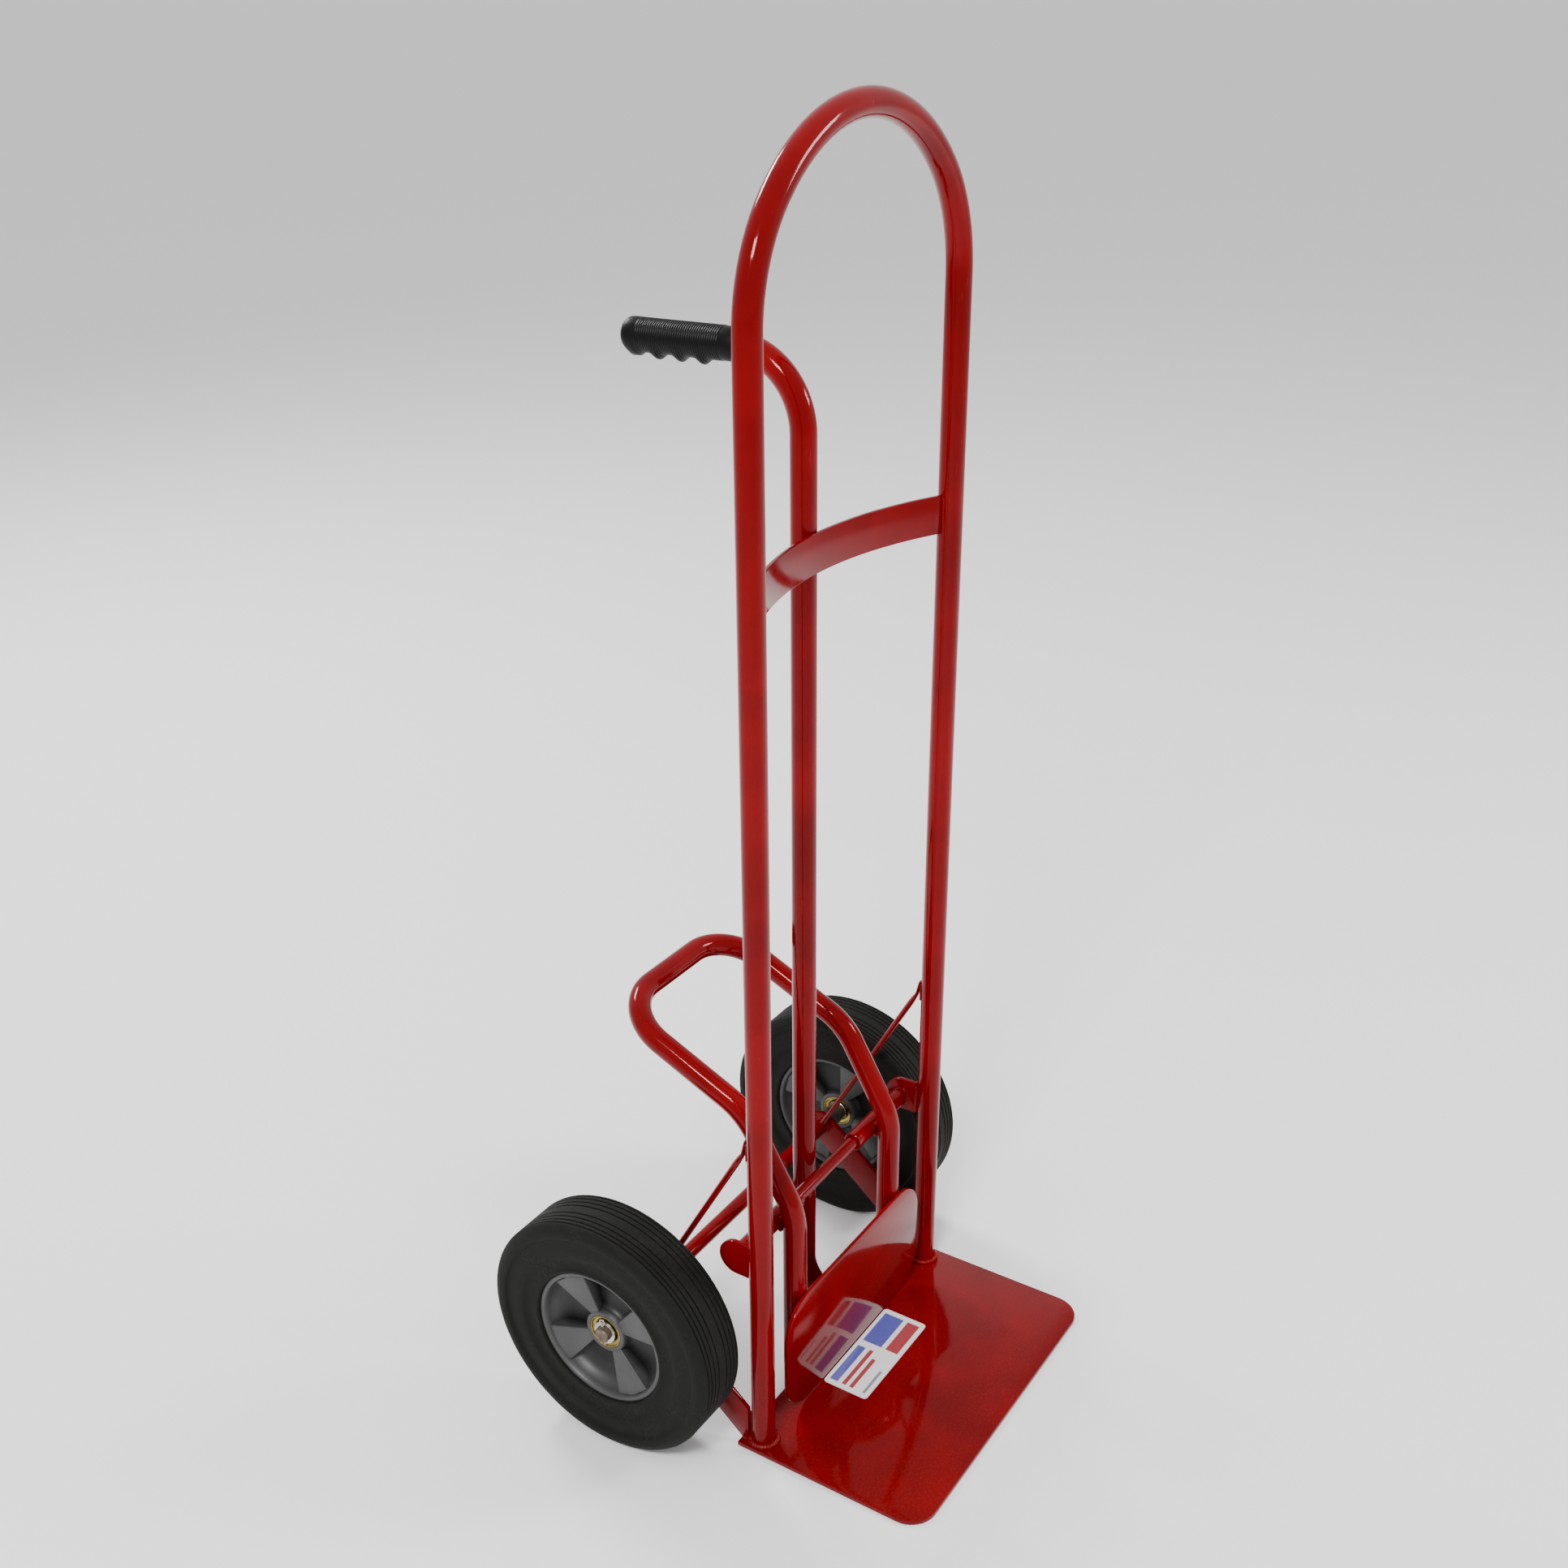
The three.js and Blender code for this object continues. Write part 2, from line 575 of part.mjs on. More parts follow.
function kickPlate() {
  const radii = [KICK_CORNER_R, KICK_CORNER_R, KICK_CORNER_R, KICK_CORNER_R];
  const shape = roundedRectangle(-KICK_HALF_WIDTH, KICK_BOTTOM_Z, KICK_HALF_WIDTH, KICK_TOP_Z, radii);
  const options = { depth: KICK_THICKNESS, bevelEnabled: false, curveSegments: CORNER_SEGMENTS };
  return new THREE.ExtrudeGeometry(shape, options).rotateX(Math.PI / 2).translate(0, KICK_REAR_Y, 0);
}

add(root, "ejector_lever", "red_paint", ejectorLever());
add(root, "kick_plate", "red_paint", kickPlate());
for (const [name, side] of SIDES) {
  const outerX = LUG_INNER_X - SLEEVE_OUTER_CLEARANCE;
  const from = centredX(side, SLEEVE_INNER_X, outerX);
  const sleeve = ringAboutX(SLEEVE_BORE_R, SLEEVE_R, from, from + outerX - SLEEVE_INNER_X, ROUND_SIDES);
  add(root, `pivot_sleeve_${name}`, "red_paint", sleeve.translate(0, PIVOT_Y, PIVOT_Z));
}

// ---------------------------------------------------------------- wheels
function tyre() {
  const seatR = HUB_R + GAP;
  const half = TYRE_WIDTH / 2;
  const edgeR = WHEEL_R - SHOULDER_DROP;
  const bead = half - SIDEWALL_DISH;
  const side = [
    [seatR, bead],
    [(seatR + edgeR) / 2, half - SIDEWALL_DISH / 3],
    [edgeR, half],
    [WHEEL_R - SHOULDER_DROP / 4, (half + TREAD_HALF) / 2],
    [WHEEL_R, TREAD_HALF],
  ];
  const mirrored = side.map(([r, x]) => [r, -x]);
  return turnedAboutX([...mirrored, ...side.reverse(), mirrored[0]], WHEEL_SIDES);
}

// One pocket between two spokes, drawn in the YZ plane about the middle of the pocket.
function pocketShape() {
  const innerR = BOSS_R + HUB_LIP;
  const outerR = HUB_R - HUB_RIM;
  const share = Math.PI / SPOKE_COUNT;
  const innerHalf = share - Math.asin(SPOKE_BOSS_HALF / innerR);
  const outerHalf = share - Math.asin(SPOKE_RIM_HALF / outerR);
  const shape = new THREE.Shape();
  shape.absarc(0, 0, outerR, -outerHalf, outerHalf, false);
  shape.absarc(0, 0, innerR, innerHalf, -innerHalf, true);
  shape.closePath();
  return shape;
}

function hub() {
  const seatR = CUP_R + GAP;
  const seatX = BOSS_HALF_WIDTH - CUP_DEPTH - GAP;
  const face = [
    [HUB_CORE_R, seatX],
    [seatR, seatX],
    [seatR, BOSS_HALF_WIDTH],
    [BOSS_R, BOSS_HALF_WIDTH],
    [HUB_R - HUB_RIM, HUB_HALF_WIDTH - HUB_LIP],
    [HUB_R - HUB_LIP, HUB_HALF_WIDTH],
    [HUB_R, HUB_HALF_WIDTH],
  ];
  const mirrored = face.map(([r, x]) => [r, -x]);
  const blank = turnedAboutX([...mirrored, ...face.reverse(), mirrored[0]], WHEEL_SIDES);
  const pockets = [];
  for (let i = 0; i < SPOKE_COUNT; i++) {
    for (const from of [POCKET_WEB, -POCKET_WEB - HUB_HALF_WIDTH]) {
      const pocket = plateAcrossX(pocketShape(), from, HUB_HALF_WIDTH, POCKET_SEGMENTS);
      pockets.push(pocket.rotateX((2 * i + 1) * Math.PI / SPOKE_COUNT));
    }
  }
  return cut(blank, ...pockets);
}

// A pressed cup, open towards +X, seated in the boss of a wheel centred at x = 0.
function bearingCup() {
  const holeR = RACE_OUTER_R + CUP_HOLE_CLEARANCE;
  const floor = BOSS_HALF_WIDTH - CUP_DEPTH;
  const wallR = CUP_R - CUP_WALL;
  const profile = [
    [holeR, floor],
    [CUP_R, floor],
    [CUP_R, BOSS_HALF_WIDTH],
    [wallR, BOSS_HALF_WIDTH],
    [wallR, floor + CUP_WALL],
    [holeR, floor + CUP_WALL],
    [holeR, floor],
  ];
  return turnedAboutX(profile, ROUND_SIDES);
}

// The balls and their cage, as one ring of their own section.
function ballRing() {
  const pitchR = (CUP_R - CUP_WALL + RACE_OUTER_R) / 2;
  const middle = BOSS_HALF_WIDTH - CUP_DEPTH / 2;
  const section = [];
  for (let i = 0; i <= BALL_SIDES; i++) {
    const angle = (2 * Math.PI * i) / BALL_SIDES;
    section.push([pitchR + BALL_R * Math.cos(angle), middle + BALL_R * Math.sin(angle)]);
  }
  return turnedAboutX(section, ROUND_SIDES);
}

for (const [name, side] of SIDES) {
  const wheel = new THREE.Group();
  wheel.position.set(side * WHEEL_X, AXLE_Y, AXLE_Z);
  root.add(wheel);
  add(wheel, `tyre_${name}`, "tyre_rubber", tyre());
  const turn = (side < 0 ? HUB_TURN_LEFT : HUB_TURN_RIGHT) * DEGREE;
  add(wheel, `hub_${name}`, "cast_hub", hub().rotateX(turn));
  for (const [place, facing] of [["outer", side], ["inner", -side]]) {
    const half = facing > 0 ? 0 : Math.PI;
    const raceFrom = RACE_HALF_SPAN - RACE_LENGTH;
    const race = ringAboutX(BORE_R, RACE_OUTER_R, raceFrom, RACE_HALF_SPAN, ROUND_SIDES);
    add(wheel, `bearing_cup_${name}_${place}`, "yellow_zinc", bearingCup().rotateZ(half));
    add(wheel, `ball_ring_${name}_${place}`, "bright_steel", ballRing().rotateZ(half));
    add(wheel, `inner_ring_${name}_${place}`, "bright_steel", race.rotateZ(half));
  }
}

export default root;
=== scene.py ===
"""Looks for a two-wheel hand truck: welded red tube, a pistol grip, solid tyres on cast hubs
and a foot-worked ejector lever. Metres, +Z up, the load stands at -Y."""
import math

import bmesh
import bpy
from bpy.props import FloatProperty, FloatVectorProperty, PointerProperty
from mathutils import Matrix, Vector


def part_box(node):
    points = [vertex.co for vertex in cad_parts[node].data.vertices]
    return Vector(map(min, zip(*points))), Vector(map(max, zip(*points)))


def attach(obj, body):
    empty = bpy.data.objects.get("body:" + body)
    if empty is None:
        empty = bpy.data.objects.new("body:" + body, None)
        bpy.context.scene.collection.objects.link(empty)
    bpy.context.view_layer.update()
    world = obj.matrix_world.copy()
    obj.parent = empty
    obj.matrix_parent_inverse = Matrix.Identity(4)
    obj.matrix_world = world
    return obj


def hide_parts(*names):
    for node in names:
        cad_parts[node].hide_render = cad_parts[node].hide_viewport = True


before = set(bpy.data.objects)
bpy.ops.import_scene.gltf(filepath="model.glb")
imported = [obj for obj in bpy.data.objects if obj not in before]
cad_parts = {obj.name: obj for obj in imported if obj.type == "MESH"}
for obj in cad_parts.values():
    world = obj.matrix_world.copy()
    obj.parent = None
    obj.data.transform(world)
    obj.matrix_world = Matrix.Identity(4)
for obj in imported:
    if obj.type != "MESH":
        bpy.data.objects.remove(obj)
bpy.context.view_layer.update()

bl_info = {
    "name": "Hand truck",
    "version": (1, 0, 0),
    "blender": (4, 5, 0),
    "location": "View3D > Sidebar > Hand truck",
    "description": "Builds the fine surfaces and finishes of a welded two-wheel hand truck",
    "category": "Add Mesh",
}

SIDES = (("left", -1), ("right", 1))
MM = 0.001
# Steps round tubes and turned pieces, and the degrees in one step of a tube's bend.
TUBE_SIDES = 40
WHEEL_STEPS = 160
COLLAR_STEPS = 64
BAR_STEPS = 48
GRIP_STEPS = 72
BEND_STEP = 4
# A turned solid bar keeps a hair-thin bore, so that its half section stays closed.
CORE = 0.2 * MM
# Angle of the first spoke of the left and the right wheel, and the balls in one bearing.
SPOKE_TURNS = (57, 24)
BALL_COUNT = 9
# Weld beads: sides, spacing of the rings, rings in one ripple, and offset from lug or bracket.
BEAD_SIDES = 10
BEAD_STEP = 0.6 * MM
RIPPLE_STEPS = 4
TOUCH = 0.3 * MM
X, Y, Z = Vector((1, 0, 0)), Vector((0, 1, 0)), Vector((0, 0, 1))


def middle(node):
    low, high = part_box(node)
    return (low + high) / 2


def size(node):
    low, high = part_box(node)
    return high - low


TUBE_R = size("frame_loop").y / 2
RAIL_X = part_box("frame_loop")[1].x - TUBE_R
CROWN_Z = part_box("frame_loop")[1].z - TUBE_R
DECK_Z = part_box("toe_plate")[1].z
LEG_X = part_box("ejector_lever")[1].x - TUBE_R
LEG_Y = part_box("ejector_lever")[0].y + TUBE_R
PIVOT = middle("pivot_rod")
AXLE = middle("axle")


# ------------------------------------------------------------------ sizes and colours
def length(name, description, default):
    return FloatProperty(name=name, description=description, default=default,
                         unit="LENGTH", subtype="DISTANCE")


def colour(name, description, default):
    return FloatVectorProperty(name=name, description=description, default=default, size=3,
                               min=0, max=1, subtype="COLOR")


class HANDTRUCK_PG_frame(bpy.types.PropertyGroup):
    """Sizes of the welded frame: its tubes, plates, brace rods, label and weld beads"""
    wall: length("Tube wall", "Wall of the frame's tube", 0.002)
    arch_rise: length("Arch rise", "Crown above the end of the straight rails", 0.1443)
    shoulder: length("Shoulder radius", "Centre-line radius where the arch leaves the rails", 0.130)
    strap_thick: length("Strap thickness", "Thickness of the cross strap", 0.004)
    toe_corner: length("Toe corner", "Radius of the toe plate's front corners", 0.028)
    label_corner: length("Label corner", "Radius of the label's corners", 0.004)
    brace_radius: length("Brace radius", "Radius of the brace rods", 0.003175)
    post_y: length("Post setback", "Centre post behind the rails", 0.054)
    post_bend: length("Post bend", "Radius of the bend under the grip", 0.068)
    crank_low: length("Crank start", "Lower corner of the post's crank", 0.022)
    crank_high: length("Crank end", "Upper corner of the post's crank", 0.082)
    crank_bend: length("Crank bend", "Radius of the crank's bends", 0.045)
    plate_edge: length("Plate edge", "Rounding along the edges of plates", 0.0007)
    bead: length("Weld bead", "Radius of the weld beads", 0.0024)


class HANDTRUCK_PG_lever(bpy.types.PropertyGroup):
    """Sizes of the ejector lever"""
    knee_rise: length("Knee rise", "Knee corner above the pivot", 0.015)
    thigh_y: length("Thigh back", "Knee to hip, rearward", 0.0549)
    thigh_z: length("Thigh up", "Knee to hip, upward", 0.0965)
    pedal_y: length("Pedal back", "Hip to foot bar, rearward", 0.1471)
    pedal_z: length("Pedal up", "Hip to foot bar, upward", 0.0675)
    bend: length("Leg bend", "Radius of the bends in each leg", 0.070)
    corner: length("Loop corner", "Radius of the foot bar's corners", 0.055)
    plate_corner: length("Plate corner", "Radius of the kick plate's corners", 0.042)


class HANDTRUCK_PG_grip(bpy.types.PropertyGroup):
    """Sizes of the pistol grip"""
    radius: length("Grip radius", "Outer radius of the grip", 0.0142)
    rib_pitch: length("Rib pitch", "Distance between the fine ribs", 0.0023)
    rib_height: length("Rib height", "Height of a fine rib", 0.0004)
    cuff: length("Cuff", "Grip's reach round the start of the post's bend", 0.008)
    swell: length("Finger swell", "Depth of a finger swell", 0.0048)
    swell_pitch: length("Swell pitch", "Distance between finger swells", 0.0232)


class HANDTRUCK_PG_colours(bpy.types.PropertyGroup):
    """Colours of the finishes"""
    paint: colour("Paint", "Gloss enamel on the frame", (0.185, 0.0010, 0.0032))
    paint_dark: colour("Paint shade", "Enamel where it is thin or dirty", (0.11, 0.0007, 0.002))
    rubber: colour("Rubber", "Tyre rubber", (0.0052, 0.0051, 0.0043))
    rubber_dust: colour("Rubber dust", "Dry dust on the tread", (0.015, 0.0145, 0.012))
    vinyl: colour("Vinyl", "Grip", (0.0018, 0.0018, 0.0018))
    casting: colour("Casting", "Grey cast hub", (0.056, 0.055, 0.056))
    zinc: colour("Yellow zinc", "Plated bearing cups", (0.33, 0.25, 0.065))
    steel: colour("Bright steel", "Washers, pins and rings", (0.62, 0.61, 0.58))
    rust: colour("Rust", "Bare axle", (0.105, 0.07, 0.043))
    label_red: colour("Label red", "Red bars and red panel on the label", (0.30, 0.012, 0.022))
    label_blue: colour("Label blue", "Blue panels on the label", (0.045, 0.055, 0.33))


def sizes(name):
    return getattr(bpy.context.scene, name)


# ------------------------------------------------------------------ bmesh helpers
def arc(centre, radius, start, end, steps):
    """Points (u, v) along an arc, with angles in degrees."""
    points = []
    for i in range(steps + 1):
        angle = math.radians(start + (end - start) * i / steps)
        points.append((centre[0] + radius * math.cos(angle), centre[1] + radius * math.sin(angle)))
    return points


def sleeve_outline(inner, outer, half, chamfer):
    """Half section of a straight sleeve with both outer edges chamfered."""
    return [(inner, -half), (outer - chamfer, -half), (outer, chamfer - half),
            (outer, half - chamfer), (outer - chamfer, half), (inner, half)]


def soften(bm, width, segments=2, angle=50):
    """Rounds every edge that is sharper than angle."""
    sharp = [e for e in bm.edges if e.is_manifold and e.calc_face_angle() > math.radians(angle)]
    bmesh.ops.bevel(bm, geom=sharp, offset=width, segments=segments, profile=0.5,
                    affect="EDGES", clamp_overlap=True, material=-1)


def turned(bm, outline, centre, axis, steps):
    """Spins a closed outline of (radius, along) points about an axis through centre."""
    across = Z if abs(axis.z) < 0.5 else X
    verts = [bm.verts.new(centre + across * r + axis * along) for r, along in outline]
    edges = [bm.edges.new((v, verts[i - 1])) for i, v in enumerate(verts)]
    bmesh.ops.spin(bm, geom=verts + edges, cent=centre, axis=axis, dvec=(0, 0, 0),
                   angle=2 * math.pi, steps=steps, use_merge=True, use_duplicate=False)


def flat_piece(bm, outline, place, thickness):
    """Raises a (u, v) outline along the third axis of place, and gives the raised corners."""
    face = bm.faces.new([bm.verts.new(place @ Vector((u, v, 0))) for u, v in outline])
    made = bmesh.ops.extrude_face_region(bm, geom=[face])["geom"]
    raised = [g for g in made if isinstance(g, bmesh.types.BMVert)]
    bmesh.ops.translate(bm, verts=raised, vec=place.to_3x3() @ Vector((0, 0, thickness)))
    return raised


def sweep(bm, places, sides, closed=False):
    """A round bar through a list of matrices. Each sets the place, turn and size of a ring."""
    circle = bmesh.ops.create_circle(bm, segments=sides, radius=1, matrix=places[0])
    ring = list({e for v in circle["verts"] for e in v.link_edges})
    ends = [ring]
    last = places[0]
    for place in places[1:]:
        made = bmesh.ops.extrude_edge_only(bm, edges=ring)["geom"]
        moved = {g for g in made if isinstance(g, bmesh.types.BMVert)}
        bmesh.ops.transform(bm, verts=list(moved), matrix=place @ last.inverted())
        ring = [g for g in made if isinstance(g, bmesh.types.BMEdge) and moved.issuperset(g.verts)]
        last = place
    ends.append(ring)
    if not closed:
        for end in ends:
            bmesh.ops.holes_fill(bm, edges=end, sides=0)


def ring_place(point, along, up, radius):
    side = up.cross(along).normalized()
    turn = Matrix((side, along.cross(side).normalized(), along)).transposed()
    return Matrix.Translation(point) @ (turn * radius).to_4x4()


def weld_bead(bm, points, radius, up, closed=False):
    """A bead with the ripples of a hand-run weld, drawn in where it starts and stops."""
    trough, unevenness, drawn_in = 0.84, 0.05, 0.55
    places = []
    count = len(points)
    for i, point in enumerate(points):
        before = points[i - 1] if closed or i else point
        after = points[(i + 1) % count] if closed or i < count - 1 else point
        crest = math.sin(math.pi * (i % RIPPLE_STEPS) / RIPPLE_STEPS)
        swell = radius * (trough + (1 - trough) * crest + unevenness * math.sin(1.7 * i))
        if not closed and i in (0, count - 1):
            swell *= drawn_in
        places.append(ring_place(point, (after - before).normalized(), up, swell))
    if closed:
        places.append(places[0])
    sweep(bm, places, BEAD_SIDES, closed)


def bead_line(bm, start, end, radius, up):
    start, end = Vector(start), Vector(end)
    steps = max(RIPPLE_STEPS, round((end - start).length / BEAD_STEP))
    weld_bead(bm, [start.lerp(end, i / steps) for i in range(steps + 1)], radius, up)


def bead_ring(bm, centre, ring_radius, axis, radius):
    centre = Vector(centre)
    across = axis.orthogonal().normalized()
    ripples = max(6, round(2 * math.pi * ring_radius / (RIPPLE_STEPS * BEAD_STEP)))
    steps = RIPPLE_STEPS * ripples
    turn = [Matrix.Rotation(2 * math.pi * i / steps, 3, axis) @ across for i in range(steps)]
    weld_bead(bm, [centre + ring_radius * t for t in turn], radius, axis, closed=True)


class TubeRun:
    """A round tube grown end on end: straight lengths are extruded and bends are spun."""

    def __init__(self, start, heading, radius):
        self.bm = bmesh.new()
        self.point = Vector(start)
        self.heading = Vector(heading).normalized()
        turn = self.heading.to_track_quat("Z", "X").to_matrix().to_4x4()
        place = Matrix.Translation(self.point) @ turn
        bmesh.ops.create_circle(self.bm, segments=TUBE_SIDES, radius=radius, matrix=place)
        self.ring = list(self.bm.edges)
        self.first = (list(self.ring), self.heading.copy())

    def forward(self, distance):
        made = bmesh.ops.extrude_edge_only(self.bm, edges=self.ring)["geom"]
        moved = {g for g in made if isinstance(g, bmesh.types.BMVert)}
        bmesh.ops.translate(self.bm, verts=list(moved), vec=self.heading * distance)
        self.ring = [g for g in made if isinstance(g, bmesh.types.BMEdge) and moved.issuperset(g.verts)]
        self.point = self.point + self.heading * distance

    def bend(self, towards, radius, angle):
        centre = self.point + towards * radius
        axis = self.heading.cross(towards).normalized()
        verts = list({v for e in self.ring for v in e.verts})
        steps = max(6, round(math.degrees(angle) / BEND_STEP))
        made = bmesh.ops.spin(self.bm, geom=verts + self.ring, cent=centre, axis=axis, dvec=(0, 0, 0),
                              angle=angle, steps=steps, use_merge=False, use_duplicate=False)
        self.ring = [g for g in made["geom_last"] if isinstance(g, bmesh.types.BMEdge)]
        turn = Matrix.Rotation(angle, 3, axis)
        self.point = centre + turn @ (self.point - centre)
        self.heading = turn @ self.heading

    def follow(self, corners, radii):
        """Runs through the corners, with a bend of its own radius at each inner one."""
        corners = [Vector(c) for c in corners]
        used = 0
        for i, radius in enumerate(radii, 1):
            before = (corners[i] - corners[i - 1]).normalized()
            after = (corners[i + 1] - corners[i]).normalized()
            angle = before.angle(after)
            setback = radius * math.tan(angle / 2)
            self.forward((corners[i] - corners[i - 1]).length - used - setback)
            self.bend((after - before * after.dot(before)).normalized(), radius, angle)
            used = setback
        self.forward((corners[-1] - corners[-2]).length - used)

    def open_ends(self, wall, depth):
        """Closes each end as a cut tube: a rim as wide as the wall and a bore behind it."""
        for ring, inward in (self.first, (self.ring, -self.heading)):
            faces = bmesh.ops.holes_fill(self.bm, edges=ring, sides=0)["faces"]
            bmesh.ops.inset_region(self.bm, faces=faces, thickness=wall, use_boundary=True)
            inner = bmesh.ops.extrude_discrete_faces(self.bm, faces=faces)["faces"]
            verts = list({v for f in inner for v in f.verts})
            bmesh.ops.translate(self.bm, verts=verts, vec=inward * depth)


def finish_piece(name, bm, finish, body, slot, *nodes, crease=38):
    """Makes the mesh an object, gives it its finish, and hands it to its body."""
    bmesh.ops.remove_doubles(bm, verts=bm.verts, dist=1e-6)
    bmesh.ops.recalc_face_normals(bm, faces=bm.faces)
    for face in bm.faces:
        face.smooth = True
    for edge in bm.edges:
        edge.smooth = not edge.is_manifold or edge.calc_face_angle() < math.radians(crease)
    mesh = bpy.data.meshes.new(name)
    bm.to_mesh(mesh)
    bm.free()
    mesh.materials.append(finish)
    piece = bpy.data.objects.new(name, mesh)
    bpy.context.scene.collection.objects.link(piece)
    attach(piece, body)
    if nodes:
        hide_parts(*nodes)
    return piece


# ------------------------------------------------------------------ node helpers
class Graph:
    """Short calls for the shader nodes that the finishes use."""

    def __init__(self, tree):
        self.tree = tree

    def node(self, kind, **values):
        node = self.tree.nodes.new(kind)
        for name, value in values.items():
            setattr(node, name, value)
        return node

    def join(self, source, target):
        self.tree.links.new(source, target)

    def feed(self, value, socket):
        if isinstance(value, bpy.types.NodeSocket):
            self.join(value, socket)
        else:
            socket.default_value = value

    def math(self, operation, a, b=0.0, clamp=False):
        node = self.node("ShaderNodeMath", operation=operation, use_clamp=clamp)
        self.feed(a, node.inputs[0])
        self.feed(b, node.inputs[1])
        return node.outputs[0]

    def noise(self, vector, scale, detail=3.0, roughness=0.55):
        node = self.node("ShaderNodeTexNoise")
        self.feed(vector, node.inputs["Vector"])
        self.feed(scale, node.inputs["Scale"])
        node.inputs["Detail"].default_value = detail
        node.inputs["Roughness"].default_value = roughness
        return node.outputs["Fac"]

    def stretch(self, vector, scale):
        node = self.node("ShaderNodeMapping")
        self.feed(vector, node.inputs["Vector"])
        node.inputs["Scale"].default_value = scale
        return node.outputs["Vector"]

    def ramp(self, value, low, high):
        node = self.node("ShaderNodeMapRange", interpolation_type="SMOOTHSTEP")
        self.feed(value, node.inputs["Value"])
        self.feed(low, node.inputs["From Min"])
        self.feed(high, node.inputs["From Max"])
        return node.outputs["Result"]

    def mix(self, factor, a, b):
        node = self.node("ShaderNodeMix", data_type="RGBA")
        self.feed(factor, node.inputs["Factor"])
        self.feed(a, node.inputs["A"])
        self.feed(b, node.inputs["B"])
        return node.outputs["Result"]

    def blend(self, factor, a, b):
        """A plain number between a and b."""
        node = self.node("ShaderNodeMapRange")
        self.feed(factor, node.inputs["Value"])
        self.feed(a, node.inputs["To Min"])
        self.feed(b, node.inputs["To Max"])
        return node.outputs["Result"]


def rgba(values):
    return (*values, 1.0)


def node_group(name, inputs, outputs, fill):
    """A shader node group, built once. fill gets the graph, the inputs and the output node."""
    if name in bpy.data.node_groups:
        return bpy.data.node_groups[name]
    group = bpy.data.node_groups.new(name, "ShaderNodeTree")
    for label, kind in inputs:
        group.interface.new_socket(label, in_out="INPUT", socket_type=kind)
    for label, kind in outputs:
        group.interface.new_socket(label, in_out="OUTPUT", socket_type=kind)
    graph = Graph(group)
    fill(graph, graph.node("NodeGroupInput").outputs, graph.node("NodeGroupOutput").inputs)
    return group


COLOUR, NUMBER = "NodeSocketColor", "NodeSocketFloat"
SURFACE = (("Color", COLOUR), ("Roughness", NUMBER), ("Height", NUMBER))
CHALKY_RED = (0.45, 0.1, 0.1, 1)
FLOOR_DUST = (0.25, 0.16, 0.12, 1)
PRINT_GREY = (0.2, 0.2, 0.22, 1)
PAPER_FIBRE = (0.5, 0.48, 0.45, 1)
WHITE_FILM = (0.72, 0.72, 0.74, 1)


def enamel(graph, inputs, outputs):
    """Brushed-on gloss enamel: orange peel, cloudy thickness, fine scuffs and floor dust."""
    place = graph.node("ShaderNodeTexCoord").outputs["Object"]
    cloud = graph.noise(place, scale=9.0, detail=4.0)
    speck = graph.noise(place, scale=420.0, detail=2.0)
    peel = graph.noise(place, scale=160.0, detail=2.0, roughness=0.4)
    scuff = graph.noise(graph.stretch(place, (900, 900, 60)), scale=1.0, detail=2.0)
    patch = graph.noise(place, scale=22.0, detail=3.0)
    scuffs = graph.math("MULTIPLY", graph.ramp(scuff, 0.66, 0.74), graph.ramp(patch, 0.5, 0.68))
    height = graph.node("ShaderNodeSeparateXYZ")
    graph.join(place, height.inputs[0])
    near_floor = graph.math("MULTIPLY", graph.ramp(height.outputs["Z"], 0.16, 0.0), inputs["Dust"])
    dust = graph.math("MULTIPLY", near_floor, graph.ramp(speck, 0.45, 0.7))
    tone = graph.mix(graph.ramp(cloud, 0.3, 0.75), inputs["Thin"], inputs["Colour"])
    scuffed = graph.mix(graph.math("MULTIPLY", scuffs, 0.16), tone, CHALKY_RED)
    graph.join(graph.mix(graph.math("MULTIPLY", dust, 0.05), scuffed, FLOOR_DUST), outputs["Color"])
    worn = graph.math("ADD", graph.math("MULTIPLY", scuffs, 0.15), graph.math("MULTIPLY", dust, 0.06))
    smear = graph.blend(graph.ramp(patch, 0.35, 0.8), 0.07, 0.14)
    graph.join(graph.math("ADD", smear, worn), outputs["Roughness"])
    relief = graph.math("SUBTRACT", peel, graph.math("MULTIPLY", scuffs, 0.3))
    graph.join(relief, outputs["Height"])


def brushed(graph, inputs, outputs):
    """Bare or plated metal with tool marks, pits and stains."""
    place = graph.node("ShaderNodeTexCoord").outputs["Object"]
    marks = graph.noise(graph.stretch(place, (1500, 180, 180)), scale=1.0, detail=2.0)
    stain = graph.noise(place, scale=130.0, detail=4.0)
    pits = graph.noise(place, scale=900.0, detail=2.0)
    mask = graph.ramp(stain, 0.42, 0.68)
    graph.join(graph.mix(mask, inputs["Colour"], inputs["Stain"]), outputs["Color"])
    rough = graph.blend(mask, inputs["Gloss"], inputs["Dull"])
    graph.join(graph.math("ADD", rough, graph.math("MULTIPLY", marks, 0.12)), outputs["Roughness"])
    graph.join(graph.math("ADD", marks, graph.math("MULTIPLY", pits, 0.6)), outputs["Height"])


